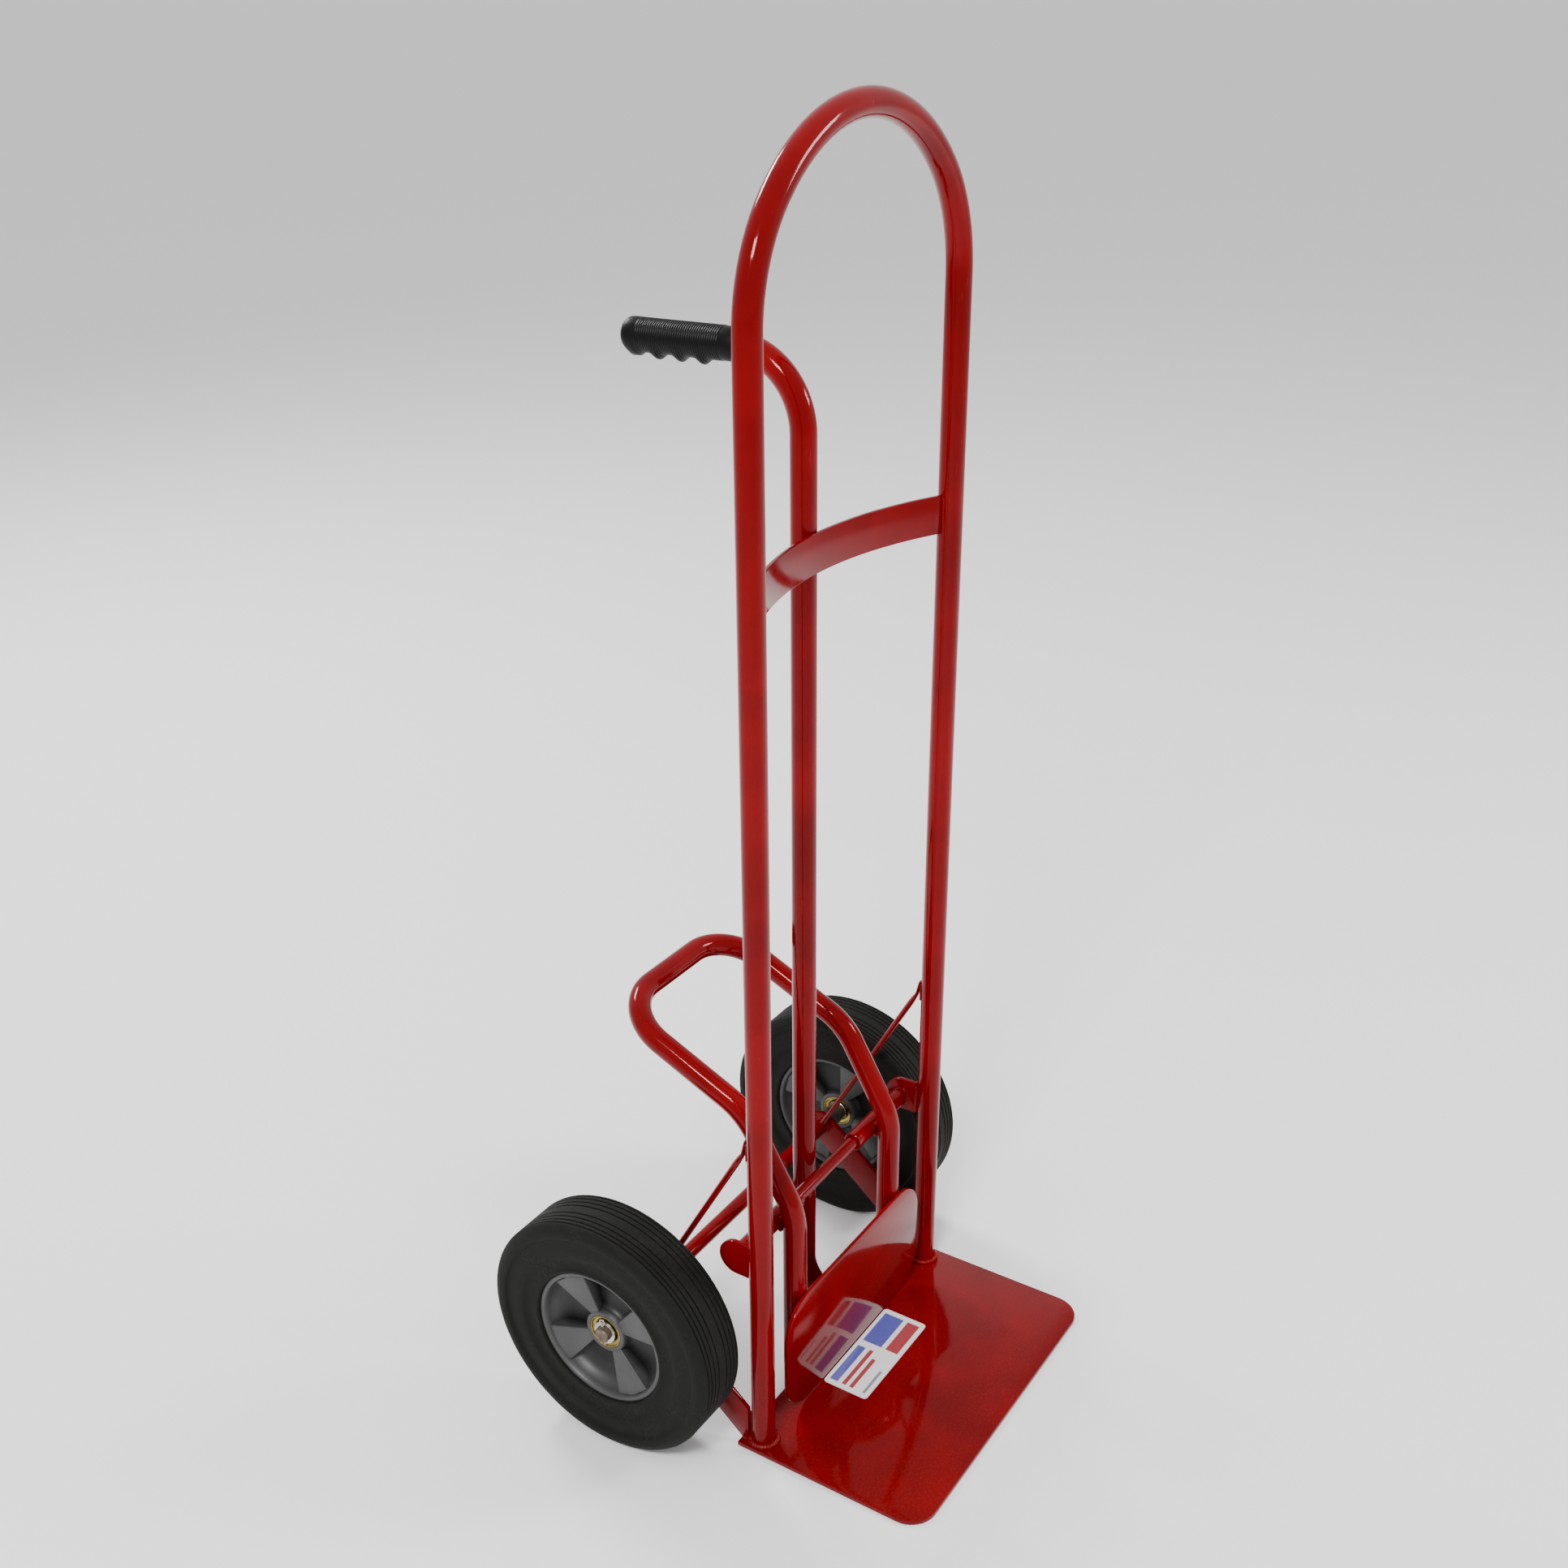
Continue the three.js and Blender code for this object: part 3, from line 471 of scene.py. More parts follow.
def cast_grain_and_shade(graph, inputs, outputs):
    """Die-cast metal under thin silver paint: pebbled skin, and painted shade in the hollows near the web.
    """
    place = graph.node("ShaderNodeTexCoord").outputs["Object"]
    grain = graph.noise(place, scale=700.0, detail=3.0)
    cloud = graph.noise(place, scale=35.0, detail=3.0)
    split = graph.node("ShaderNodeSeparateXYZ")
    graph.join(place, split.inputs[0])
    from_middle = graph.math("SUBTRACT", graph.math("ABSOLUTE", split.outputs["X"]), inputs["Middle"])
    # Painted shade: the colour darkens towards the wheel's middle plane. It is fully the Shade colour
    # within 4 mm of that plane and untouched beyond 16 mm, so the web and the hollows between the spokes
    # are painted dark.
    raised = graph.ramp(graph.math("ABSOLUTE", from_middle), 0.004, 0.016)
    clean = graph.mix(graph.ramp(cloud, 0.35, 0.7), inputs["Face"], inputs["Colour"])
    # clean is the hub's own colour, cloudy at random; the painted shade is laid over it here.
    graph.join(graph.mix(raised, inputs["Shade"], clean), outputs["Color"])
    graph.join(graph.blend(grain, 0.34, 0.56), outputs["Roughness"])
    graph.join(grain, outputs["Height"])


def rubber_skin(graph, inputs, outputs):
    """Moulded rubber: fine pebble, dry dust that gathers on the tread, and patches of duller skin."""
    place = graph.node("ShaderNodeTexCoord").outputs["Object"]
    pebble = graph.noise(place, scale=900.0, detail=3.0)
    cloud = graph.noise(place, scale=28.0, detail=5.0)
    grit = graph.noise(place, scale=350.0, detail=2.0)
    dusty = graph.math("MULTIPLY", graph.ramp(cloud, 0.4, 0.75), graph.ramp(grit, 0.38, 0.62))
    cover = graph.math("MULTIPLY", dusty, 0.75)
    graph.join(graph.mix(cover, inputs["Colour"], inputs["Dust"]), outputs["Color"])
    dull = graph.blend(cloud, 0.55, 0.9)
    graph.join(graph.math("SUBTRACT", dull, inputs["Gloss"]), outputs["Roughness"])
    graph.join(graph.math("ADD", pebble, graph.math("MULTIPLY", cloud, 0.4)), outputs["Height"])


def label_print(graph, inputs, outputs):
    """Plain bars and plain panels on white film, with no lettering."""
    place = graph.node("ShaderNodeTexCoord").outputs["Object"]
    low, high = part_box("label")
    centred = graph.node("ShaderNodeMapping")
    centred.vector_type = "TEXTURE"
    graph.join(place, centred.inputs["Vector"])
    centred.inputs["Location"].default_value = low
    centred.inputs["Scale"].default_value = (high.x - low.x, high.y - low.y, 1)
    split = graph.node("ShaderNodeSeparateXYZ")
    graph.join(centred.outputs["Vector"], split.inputs[0])
    u, v = split.outputs["X"], split.outputs["Y"]

    def within(value, start, end):
        above = graph.math("GREATER_THAN", value, start)
        return graph.math("MULTIPLY", above, graph.math("LESS_THAN", value, end))

    def panel(left, bottom, right, top):
        return graph.math("MULTIPLY", within(u, left, right), within(v, bottom, top))

    shown = graph.mix(panel(0.57, 0.1, 0.95, 0.38), inputs["Film"], inputs["Red"])
    shown = graph.mix(panel(0.57, 0.48, 0.95, 0.92), shown, inputs["Blue"])
    shown = graph.mix(panel(0.05, 0.74, 0.5, 0.92), shown, inputs["Blue"])
    for bottom, right in ((0.55, 0.5), (0.38, 0.42)):
        shown = graph.mix(panel(0.05, bottom, right, bottom + 0.09), shown, inputs["Red"])
    shown = graph.mix(panel(0.05, 0.1, 0.33, 0.16), shown, PRINT_GREY)
    fibre = graph.noise(place, scale=600.0, detail=2.0)
    graph.join(graph.mix(graph.math("MULTIPLY", fibre, 0.12), shown, PAPER_FIBRE), outputs["Color"])
    graph.join(graph.blend(fibre, 0.25, 0.45), outputs["Roughness"])
    graph.join(fibre, outputs["Height"])


def material(name, group, values, bump, distance, **shader_values):
    """A Principled material fed by one surface group, with plain numbers on the shader."""
    if name in bpy.data.materials:
        return bpy.data.materials[name]
    made = bpy.data.materials.new(name)
    made.use_nodes = True
    made.node_tree.nodes.clear()
    graph = Graph(made.node_tree)
    surface = graph.node("ShaderNodeGroup", node_tree=group)
    for label, value in values.items():
        surface.inputs[label].default_value = value
    shader = graph.node("ShaderNodeBsdfPrincipled")
    for label, value in shader_values.items():
        shader.inputs[label.replace("_", " ")].default_value = value
    relief = graph.node("ShaderNodeBump")
    relief.inputs["Strength"].default_value = bump
    relief.inputs["Distance"].default_value = distance
    graph.join(surface.outputs["Height"], relief.inputs["Height"])
    graph.join(surface.outputs["Color"], shader.inputs["Base Color"])
    graph.join(surface.outputs["Roughness"], shader.inputs["Roughness"])
    graph.join(relief.outputs["Normal"], shader.inputs["Normal"])
    output = graph.node("ShaderNodeOutputMaterial")
    graph.join(shader.outputs["BSDF"], output.inputs["Surface"])
    return made


def red_enamel(name="red_enamel", peel=0.04, dust=0.6):
    inputs = (("Colour", COLOUR), ("Thin", COLOUR), ("Dust", NUMBER))
    group = node_group("enamel", inputs, SURFACE, enamel)
    paint = sizes("handtruck_colours")
    values = {"Colour": rgba(paint.paint), "Thin": rgba(paint.paint_dark), "Dust": dust}
    return material(name, group, values, peel, 0.5 * MM,
                    Specular_IOR_Level=0.22, Specular_Tint=(1, 0.45, 0.45, 1))


def metal(name, base, stain, gloss, dull, bump=0.15, metallic=1.0):
    """Gloss is the roughness where the metal is clean, dull where it is stained."""
    inputs = (("Colour", COLOUR), ("Stain", COLOUR), ("Gloss", NUMBER), ("Dull", NUMBER))
    group = node_group("brushed_metal", inputs, SURFACE, brushed)
    values = {"Colour": rgba(base), "Stain": rgba(stain), "Gloss": gloss, "Dull": dull}
    return material(name, group, values, bump, 0.2 * MM, Metallic=metallic)


def bright_steel():
    base = sizes("handtruck_colours").steel
    return metal("polished_steel", base, (0.36, 0.33, 0.29), gloss=0.2, dull=0.38)


def yellow_zinc():
    base = sizes("handtruck_colours").zinc
    return metal("yellow_zinc_plate", base, (0.21, 0.15, 0.045), gloss=0.16, dull=0.32)


def rusty_steel():
    base = sizes("handtruck_colours").rust
    return metal("rusty_axle", base, (0.16, 0.13, 0.10), gloss=0.62, dull=0.4, bump=0.4, metallic=0.55)


def cast_metal():
    inputs = (("Colour", COLOUR), ("Face", COLOUR), ("Shade", COLOUR), ("Middle", NUMBER))
    group = node_group("cast_grain_and_shade", inputs, SURFACE, cast_grain_and_shade)
    base = sizes("handtruck_colours").casting
    # Shade is painted shade for the hub's hollows, at 0.12 of the base colour.
    values = {"Colour": rgba(base), "Face": rgba([0.8 * c for c in base]),
              "Shade": rgba([0.12 * c for c in base]), "Middle": middle("hub_right").x}
    return material("cast_hub_paint", group, values, 0.25, 0.4 * MM, Metallic=0.35)


def rubber(name, base, dust, gloss, bump, specular):
    inputs = (("Colour", COLOUR), ("Dust", COLOUR), ("Gloss", NUMBER))
    group = node_group("rubber_skin", inputs, SURFACE, rubber_skin)
    values = {"Colour": rgba(base), "Dust": rgba(dust), "Gloss": gloss}
    return material(name, group, values, bump, 0.4 * MM, Specular_IOR_Level=specular)


def label_film():
    inputs = (("Film", COLOUR), ("Red", COLOUR), ("Blue", COLOUR))
    group = node_group("label_print", inputs, SURFACE, label_print)
    paint = sizes("handtruck_colours")
    values = {"Film": WHITE_FILM, "Red": rgba(paint.label_red), "Blue": rgba(paint.label_blue)}
    return material("printed_film", group, values, 0.05, 0.2 * MM, Coat_Weight=0.4)


# ------------------------------------------------------------------ operators
class HandTruckOperator:
    """Shared by the operators: each builds its pieces and finishes."""
    bl_options = {"REGISTER", "UNDO"}

    def execute(self, context):
        self.build()
        return {"FINISHED"}


class HANDTRUCK_OT_frame_tube(HandTruckOperator, bpy.types.Operator):
    """Bends the frame's one tube: rail, arch and rail"""
    bl_idname = "handtruck.frame_tube"
    bl_label = "Frame tube"

    def build(self):
        frame_sizes = sizes("handtruck_frame")
        rise, shoulder = frame_sizes.arch_rise, frame_sizes.shoulder
        run = RAIL_X - shoulder
        crown = (run * run + rise * rise - shoulder * shoulder) / (2 * (rise - shoulder))
        half = math.atan2(run, crown - rise)
        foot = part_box("frame_loop")[0].z
        tube = TubeRun((-RAIL_X, 0, foot), Z, TUBE_R)
        tube.forward(CROWN_Z - rise - foot)
        side = math.pi / 2 - half
        for radius, angle in ((shoulder, side), (crown, 2 * half), (shoulder, side)):
            tube.bend(Vector((tube.heading.z, 0, -tube.heading.x)), radius, angle)
        tube.forward(CROWN_Z - rise - foot)
        tube.open_ends(frame_sizes.wall, 0.03)
        finish_piece("frame_tube", tube.bm, red_enamel(), "frame", "red_paint", "frame_loop")


class HANDTRUCK_OT_post_tube(HandTruckOperator, bpy.types.Operator):
    """Bends the centre post from its crank at the toe plate to the grip"""
    bl_idname = "handtruck.post_tube"
    bl_label = "Centre post"

    def build(self):
        frame_sizes = sizes("handtruck_frame")
        low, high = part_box("center_post")
        top = high.z - TUBE_R
        foot_y = low.y + TUBE_R
        corners = [
            (0, foot_y, low.z),
            (0, foot_y, frame_sizes.crank_low),
            (0, frame_sizes.post_y, frame_sizes.crank_high),
            (0, frame_sizes.post_y, top),
            (0, high.y, top),
        ]
        tube = TubeRun(corners[0], Z, TUBE_R)
        tube.follow(corners, (frame_sizes.crank_bend, frame_sizes.crank_bend, frame_sizes.post_bend))
        tube.open_ends(frame_sizes.wall, 0.03)
        finish_piece("post_tube", tube.bm, red_enamel(), "frame", "red_paint", "center_post")


class HANDTRUCK_OT_lever_tube(HandTruckOperator, bpy.types.Operator):
    """Bends the ejector lever: two legs and the foot bar between them"""
    bl_idname = "handtruck.lever_tube"
    bl_label = "Ejector lever"

    def build(self):
        lever = sizes("handtruck_lever")
        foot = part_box("ejector_lever")[0].z
        knee = PIVOT.z + lever.knee_rise
        hip = (LEG_Y + lever.thigh_y, knee + lever.thigh_z)
        bar = (hip[0] + lever.pedal_y, hip[1] + lever.pedal_z)
        leg = [(LEG_Y, foot), (LEG_Y, knee), hip, bar]
        corners = [(-LEG_X, y, z) for y, z in leg] + [(LEG_X, y, z) for y, z in reversed(leg)]
        bends = (lever.bend, lever.bend, lever.corner, lever.corner, lever.bend, lever.bend)
        tube = TubeRun(corners[0], Z, TUBE_R)
        tube.follow(corners, bends)
        tube.open_ends(sizes("handtruck_frame").wall, 0.04)
        finish_piece("lever_tube", tube.bm, red_enamel(), "ejector", "red_paint", "ejector_lever")


class HANDTRUCK_OT_grip(HandTruckOperator, bpy.types.Operator):
    """Moulds the ribbed pistol grip with its four finger swells"""
    bl_idname = "handtruck.grip"
    bl_label = "Pistol grip"

    def side_outline(self, grip, long):
        """From the bore out to the cuff, along the fine ribs, round the cap and into its middle."""
        r, cuff = grip.radius, grip.cuff
        bore, step, cap = TUBE_R + 0.3 * MM, 0.5 * MM, 8 * MM
        outline = [(bore, long - 6 * MM), (bore, 0.4 * MM - cuff), (r - step, -cuff), (r, 1.2 * MM - cuff)]
        start, end = 15 * MM - cuff, long - 17 * MM
        for i in range(int((end - start) / grip.rib_pitch)):
            y = start + i * grip.rib_pitch
            for share, height in ((0, 0), (0.25, 0), (0.42, 0.8), (0.62, 1), (0.82, 0.8)):
                outline.append((r + height * grip.rib_height, y + share * grip.rib_pitch))
        outline += [(r, end), (r + step, end + 1.5 * MM), (r + step, long - 9 * MM)]
        outline += arc((r + step - cap, long - cap), cap, 15, 90, 5)
        return outline + [(0.4 * MM, long), (0.4 * MM, long - 6 * MM)]

    def finger_swell(self, offset, phase):
        """How far a point of the underside stands out, from 0 to 1. Phase counts swells from the cap."""
        swells, fade_out, fade_in, sharpness = 3.7, 0.3, 0.25, 1.3
        radius = math.hypot(offset.x, offset.z)
        under = max(0.0, -offset.z / max(radius, 1e-6)) ** 1.6
        fade = min(1, max(0, (swells - phase) / fade_out)) * min(1, max(0, (phase + 0.5) / fade_in))
        turn = 2 * math.pi * phase
        wave = (0.5 + 0.5 * math.cos(turn + 0.35 * math.sin(turn))) ** sharpness
        skin = min(1, max(0, (radius - TUBE_R - 0.4 * MM) / (1.5 * MM)))
        return wave * under * fade * skin

    def build(self):
        grip = sizes("handtruck_grip")
        low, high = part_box("handle_grip")
        axis_z = high.z - (high.x - low.x) / 2
        long = high.y - low.y
        outline = self.side_outline(grip, long)
        bm = bmesh.new()
        centre = Vector((0, low.y, axis_z))
        turned(bm, outline, centre, Y, GRIP_STEPS)
        first = high.y - 12 * MM
        bend = sizes("handtruck_frame").post_bend
        for vert in bm.verts:
            offset = vert.co - centre
            swell = self.finger_swell(offset, (first - vert.co.y) / grip.swell_pitch)
            cuff_drop = min(0, offset.y) ** 2 / (2 * bend)
            vert.co.z -= grip.swell * swell
            vert.co.z -= cuff_drop
        base = sizes("handtruck_colours").vinyl
        vinyl = rubber("ribbed_vinyl", base, (0.004, 0.004, 0.004), gloss=0.3, bump=0.05, specular=0.12)
        finish_piece("pistol_grip", bm, vinyl, "frame", "grip_vinyl", "handle_grip", crease=60)


class HANDTRUCK_OT_plates(HandTruckOperator, bpy.types.Operator):
    """Cuts the toe plate, kick plate, cross strap, label, brackets and lugs"""
    bl_idname = "handtruck.plates"
    bl_label = "Plates"

    def rounded(self, low, high, radii):
        """Outline of a rectangle with its own radius at each corner, from the lower left."""
        corners = ((low[0], low[1], 1, 1), (high[0], low[1], -1, 1),
                   (high[0], high[1], -1, -1), (low[0], high[1], 1, -1))
        outline = []
        for i, (u, v, right, up) in enumerate(corners):
            start = 180 + 90 * i
            if radii[i]:
                centre = (u + right * radii[i], v + up * radii[i])
                outline += arc(centre, radii[i], start, start + 90, 12)
            else:
                outline.append((u, v))
        return outline

    def toe_plate(self, edge):
        low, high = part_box("toe_plate")
        bm = bmesh.new()
        corner = sizes("handtruck_frame").toe_corner
        outline = self.rounded(low, high, (corner, corner, 0, 0))
        flat_piece(bm, outline, Matrix.Translation((0, 0, low.z)), high.z - low.z)
        soften(bm, edge)
        finish_piece("toe_deck", bm, red_enamel(), "frame", "red_paint", "toe_plate")

    def kick_plate(self, edge):
        low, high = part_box("kick_plate")
        corner = sizes("handtruck_lever").plate_corner
        upright = Matrix((X, Z, -Y)).transposed().to_4x4()
        outline = self.rounded((low.x, low.z), (high.x, high.z), (corner,) * 4)
        bm = bmesh.new()
        flat_piece(bm, outline, Matrix.Translation((0, high.y, 0)) @ upright, high.y - low.y)
        soften(bm, edge)
        finish_piece("kick_guard", bm, red_enamel(), "ejector", "red_paint", "kick_plate")

    def label(self):
        low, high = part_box("label")
        corner = sizes("handtruck_frame").label_corner
        outline = self.rounded(low, high, (corner,) * 4)
        bm = bmesh.new()
        flat_piece(bm, outline, Matrix.Translation((0, 0, DECK_Z)), high.z - DECK_Z)
        finish_piece("deck_label", bm, label_film(), "frame", "label_film", "label")

    def strap(self, edge):
        low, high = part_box("cross_strap")
        thick = sizes("handtruck_frame").strap_thick
        end_y = low.y + thick / 2
        bow = high.y - thick / 2 - end_y
        half_span = high.x
        radius = (half_span ** 2 + bow ** 2) / (2 * bow)
        sweep_half = math.degrees(math.asin(half_span / radius))
        centre = (0, high.y - thick / 2 - radius)
        outline = arc(centre, radius + thick / 2, 90 - sweep_half, 90 + sweep_half, 40)
        outline += arc(centre, radius - thick / 2, 90 + sweep_half, 90 - sweep_half, 40)
        bm = bmesh.new()
        flat_piece(bm, outline, Matrix.Translation((0, 0, low.z)), high.z - low.z)
        soften(bm, edge)
        finish_piece("bowed_strap", bm, red_enamel(), "frame", "red_paint", "cross_strap")

    def side_plate(self, name, node, outline, edge):
        low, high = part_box(node)
        across = Matrix((Y, Z, X)).transposed().to_4x4()
        bm = bmesh.new()
        flat_piece(bm, outline, Matrix.Translation((low.x, 0, 0)) @ across, high.x - low.x)
        soften(bm, edge)
        finish_piece(name, bm, red_enamel(), "frame", "red_paint", node)

    def bracket_outline(self, node):
        low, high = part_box(node)
        radius = high.y - AXLE.y
        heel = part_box("toe_plate")[1].y
        reach = Vector((AXLE.y - heel, AXLE.z - low.z))
        slope = math.atan2(reach.y, reach.x) - math.asin(radius / reach.length)
        turn = math.degrees(slope)
        end = arc((AXLE.y, AXLE.z), radius, turn - 90, turn + 90, 24)
        drop = (end[-1][0] - low.y) * math.tan(slope)
        return [(low.y, low.z), (heel, low.z), *end, (low.y, end[-1][1] - drop)]

    def build(self):
        edge = sizes("handtruck_frame").plate_edge
        self.toe_plate(edge)
        self.kick_plate(edge)
        self.label()
        self.strap(edge)
        for side, _ in SIDES:
            bracket = f"axle_bracket_{side}"
            self.side_plate(f"bracket_bar_{side}", bracket, self.bracket_outline(bracket), edge)
            lug = f"pivot_lug_{side}"
            low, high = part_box(lug)
            radius = (high.z - low.z) / 2
            nose = arc((high.y - radius, PIVOT.z), radius, -90, 90, 24)
            outline = [(low.y, low.z), *nose, (low.y, high.z)]
            self.side_plate(f"lug_plate_{side}", lug, outline, edge)


class HANDTRUCK_OT_bars(HandTruckOperator, bpy.types.Operator):
    """Turns the pivot rod, its sleeves, the brace rods and the axle"""
    bl_idname = "handtruck.bars"
    bl_label = "Bars and axle"

    def brace(self, side, sign):
        node = f"brace_rod_{side}"
        low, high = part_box(node)
        rod_r = sizes("handtruck_frame").brace_radius
        pad = 0.011
        pad_z = high.z - pad
        wall_y = low.y
        lean = math.atan2(AXLE.y - wall_y, pad_z - AXLE.z)
        top = Vector((sign * RAIL_X, wall_y + rod_r * math.cos(lean), pad_z))
        to_axle = Vector((top.x, AXLE.y, AXLE.z)) - top
        along = to_axle.normalized()
        reach = to_axle.length - size("axle").z / 2
        # Distance along, width and thickness, from the flat tongue on the rail to the round bar.
        tongue = 0.004
        flats = ((-pad, 1.55, 0.45), (-0.009, 1.65, 0.55), (tongue, 1.6, 0.6),
                 (0.012, 1.2, 0.85), (0.02, 1, 1), (reach, 1, 1))
        places = []
        for distance, wide, thick in flats:
            upright = distance < tongue
            heading = -Z if upright else along
            point = top - Z * distance if upright else top + along * distance
            if upright:
                point.y = wall_y + thick * rod_r
            place = ring_place(point, heading, X, rod_r)
            places.append(place @ Matrix.Diagonal((thick, wide, 1, 1)))
        bm = bmesh.new()
        sweep(bm, places, 24)
        finish_piece(f"brace_bar_{side}", bm, red_enamel(), "frame", "red_paint", node, crease=50)

    def build(self):
        rod_r, rod_half = size("pivot_rod").z / 2, size("pivot_rod").x / 2
        bm = bmesh.new()
        outline = [(CORE, -rod_half), (rod_r, -rod_half), (rod_r, rod_half), (CORE, rod_half)]
        turned(bm, outline, PIVOT, X, BAR_STEPS)
        finish_piece("pivot_bar", bm, red_enamel(), "frame", "red_paint", "pivot_rod")
        for side, sign in SIDES:
            node = f"pivot_sleeve_{side}"
            bore, chamfer = rod_r + 0.4 * MM, 0.6 * MM
            outline = sleeve_outline(bore, size(node).z / 2, size(node).x / 2, chamfer)
            bm = bmesh.new()
            turned(bm, outline, middle(node), X, COLLAR_STEPS)
            finish_piece(f"hinge_sleeve_{side}", bm, red_enamel(), "ejector", "red_paint", node)
            self.brace(side, sign)
        axle_r, axle_half = size("axle").z / 2, size("axle").x / 2
        bm = bmesh.new()
        turned(bm, sleeve_outline(CORE, axle_r, axle_half, 1.2 * MM), AXLE, X, COLLAR_STEPS)
        finish_piece("axle_bar", bm, rusty_steel(), "frame", "axle_steel", "axle")
        painted_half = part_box("axle_bracket_right")[0].x
        bm = bmesh.new()
        coat = sleeve_outline(axle_r - 0.2 * MM, axle_r + 0.1 * MM, painted_half, 0.05 * MM)
        turned(bm, coat, AXLE, X, COLLAR_STEPS)
        finish_piece("axle_paint", bm, red_enamel(), "frame", "red_paint")


class HANDTRUCK_OT_welds(HandTruckOperator, bpy.types.Operator):
    """Runs the weld beads on the frame and on the lever"""
    bl_idname = "handtruck.welds"
    bl_label = "Weld beads"

    def upright_bead(self, bm, x, y, low, high, radius):
        """A bead from low to high, on a joint that faces along the truck."""
        bead_line(bm, (x, y, low), (x, y, high), radius, Y)

    def foot_beads(self, bm, r):
        """Rings round the feet of the post and rails."""
        post_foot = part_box("center_post")[0].y + TUBE_R
        bead_ring(bm, (0, post_foot, DECK_Z + 0.4 * r), TUBE_R + 0.5 * r, Z, 1.2 * r)
        for _, sign in SIDES:
            bead_ring(bm, (sign * RAIL_X, 0, DECK_Z + 0.4 * r), TUBE_R + 0.6 * r, Z, 1.35 * r)

    def strap_beads(self, bm, r, sign):
        """Both faces of the strap's end, and its middle on the post."""
        low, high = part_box("cross_strap")
        end = sign * (high.x + 0.4 * MM)
        for y in (low.y - 0.6 * MM, low.y + 4.8 * MM):
            self.upright_bead(bm, end, y, low.z + 2 * MM, high.z - 2 * MM, 0.75 * r)
        post_front = sizes("handtruck_frame").post_y - TUBE_R - 0.2 * MM
        self.upright_bead(bm, sign * 4.5 * MM, post_front, low.z + 3 * MM, high.z - 3 * MM, 0.8 * r)

    def lug_beads(self, bm, r, sign):
        """Both faces of the lug on its rail, and a ring round the pivot rod."""
        low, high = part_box("pivot_lug_right")
        for x in (low.x - TOUCH, high.x + TOUCH):
            self.upright_bead(bm, sign * x, TUBE_R - TOUCH, low.z + 3 * MM, high.z - 3 * MM, 0.8 * r)
        rod_r = size("pivot_rod").z / 2
        bead_ring(bm, (sign * (low.x - 0.2 * MM), PIVOT.y, PIVOT.z), rod_r + 0.3 * r, X, 0.7 * r)

    def bracket_beads(self, bm, r, sign):
        """Along the toe plate, up the rail, and round the axle."""
        low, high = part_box("axle_bracket_right")
        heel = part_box("toe_plate")[1].y
        for x in (low.x - TOUCH, high.x + TOUCH):
            bead_line(bm, (sign * x, low.y + 1 * MM, DECK_Z + 1 * MM),
                      (sign * x, heel - 1 * MM, DECK_Z + 1 * MM), 0.9 * r, Z)
            bead_ring(bm, (sign * x, AXLE.y, AXLE.z), size("axle").z / 2 + 0.3 * r, X, 0.8 * r)
        self.upright_bead(bm, sign * (low.x - TOUCH), low.y - 1.4 * MM, DECK_Z + 4 * MM, 38 * MM, 0.9 * r)

    def brace_beads(self, bm, r, sign):
        """Both edges of the flat tongue."""
        low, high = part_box("brace_rod_right")
        for x in (RAIL_X - 4.8 * MM, RAIL_X + 4.8 * MM):
            self.upright_bead(bm, sign * x, low.y - 0.9 * MM, high.z - 20 * MM, high.z - 1 * MM, 0.55 * r)

    def lever_beads(self, bm, r, sign):
        """Along the kick plate on both sides of the leg, and above and below the sleeve."""
        plate_y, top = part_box("kick_plate")[1].y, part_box("kick_plate")[1].z
        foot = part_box("ejector_lever")[0].z
        for x in (LEG_X - 6 * MM, LEG_X + 6 * MM):
            self.upright_bead(bm, sign * x, plate_y + 1 * MM, foot + 2 * MM, top - 4 * MM, 0.8 * r)
        touch_y = PIVOT.y - size("pivot_sleeve_right").z / 2 + 1 * MM
        near, far = sign * (LEG_X - 7 * MM), sign * (LEG_X + 7 * MM)
        for z in (PIVOT.z - 6.2 * MM, PIVOT.z + 6.2 * MM):
            bead_line(bm, (near, touch_y, z), (far, touch_y, z), r, Z)

    def build(self):
        bead = sizes("handtruck_frame").bead
        on_frame, on_lever = bmesh.new(), bmesh.new()
        self.foot_beads(on_frame, bead)
        for _, sign in SIDES:
            self.strap_beads(on_frame, bead, sign)
            self.lug_beads(on_frame, bead, sign)
            self.bracket_beads(on_frame, bead, sign)
            self.brace_beads(on_frame, bead, sign)
            self.lever_beads(on_lever, bead, sign)
        finish = red_enamel("red_enamel_weld", peel=0.3, dust=1.0)
        finish_piece("frame_welds", on_frame, finish, "frame", "red_paint", crease=70)
        finish_piece("lever_welds", on_lever, finish, "ejector", "red_paint", crease=70)


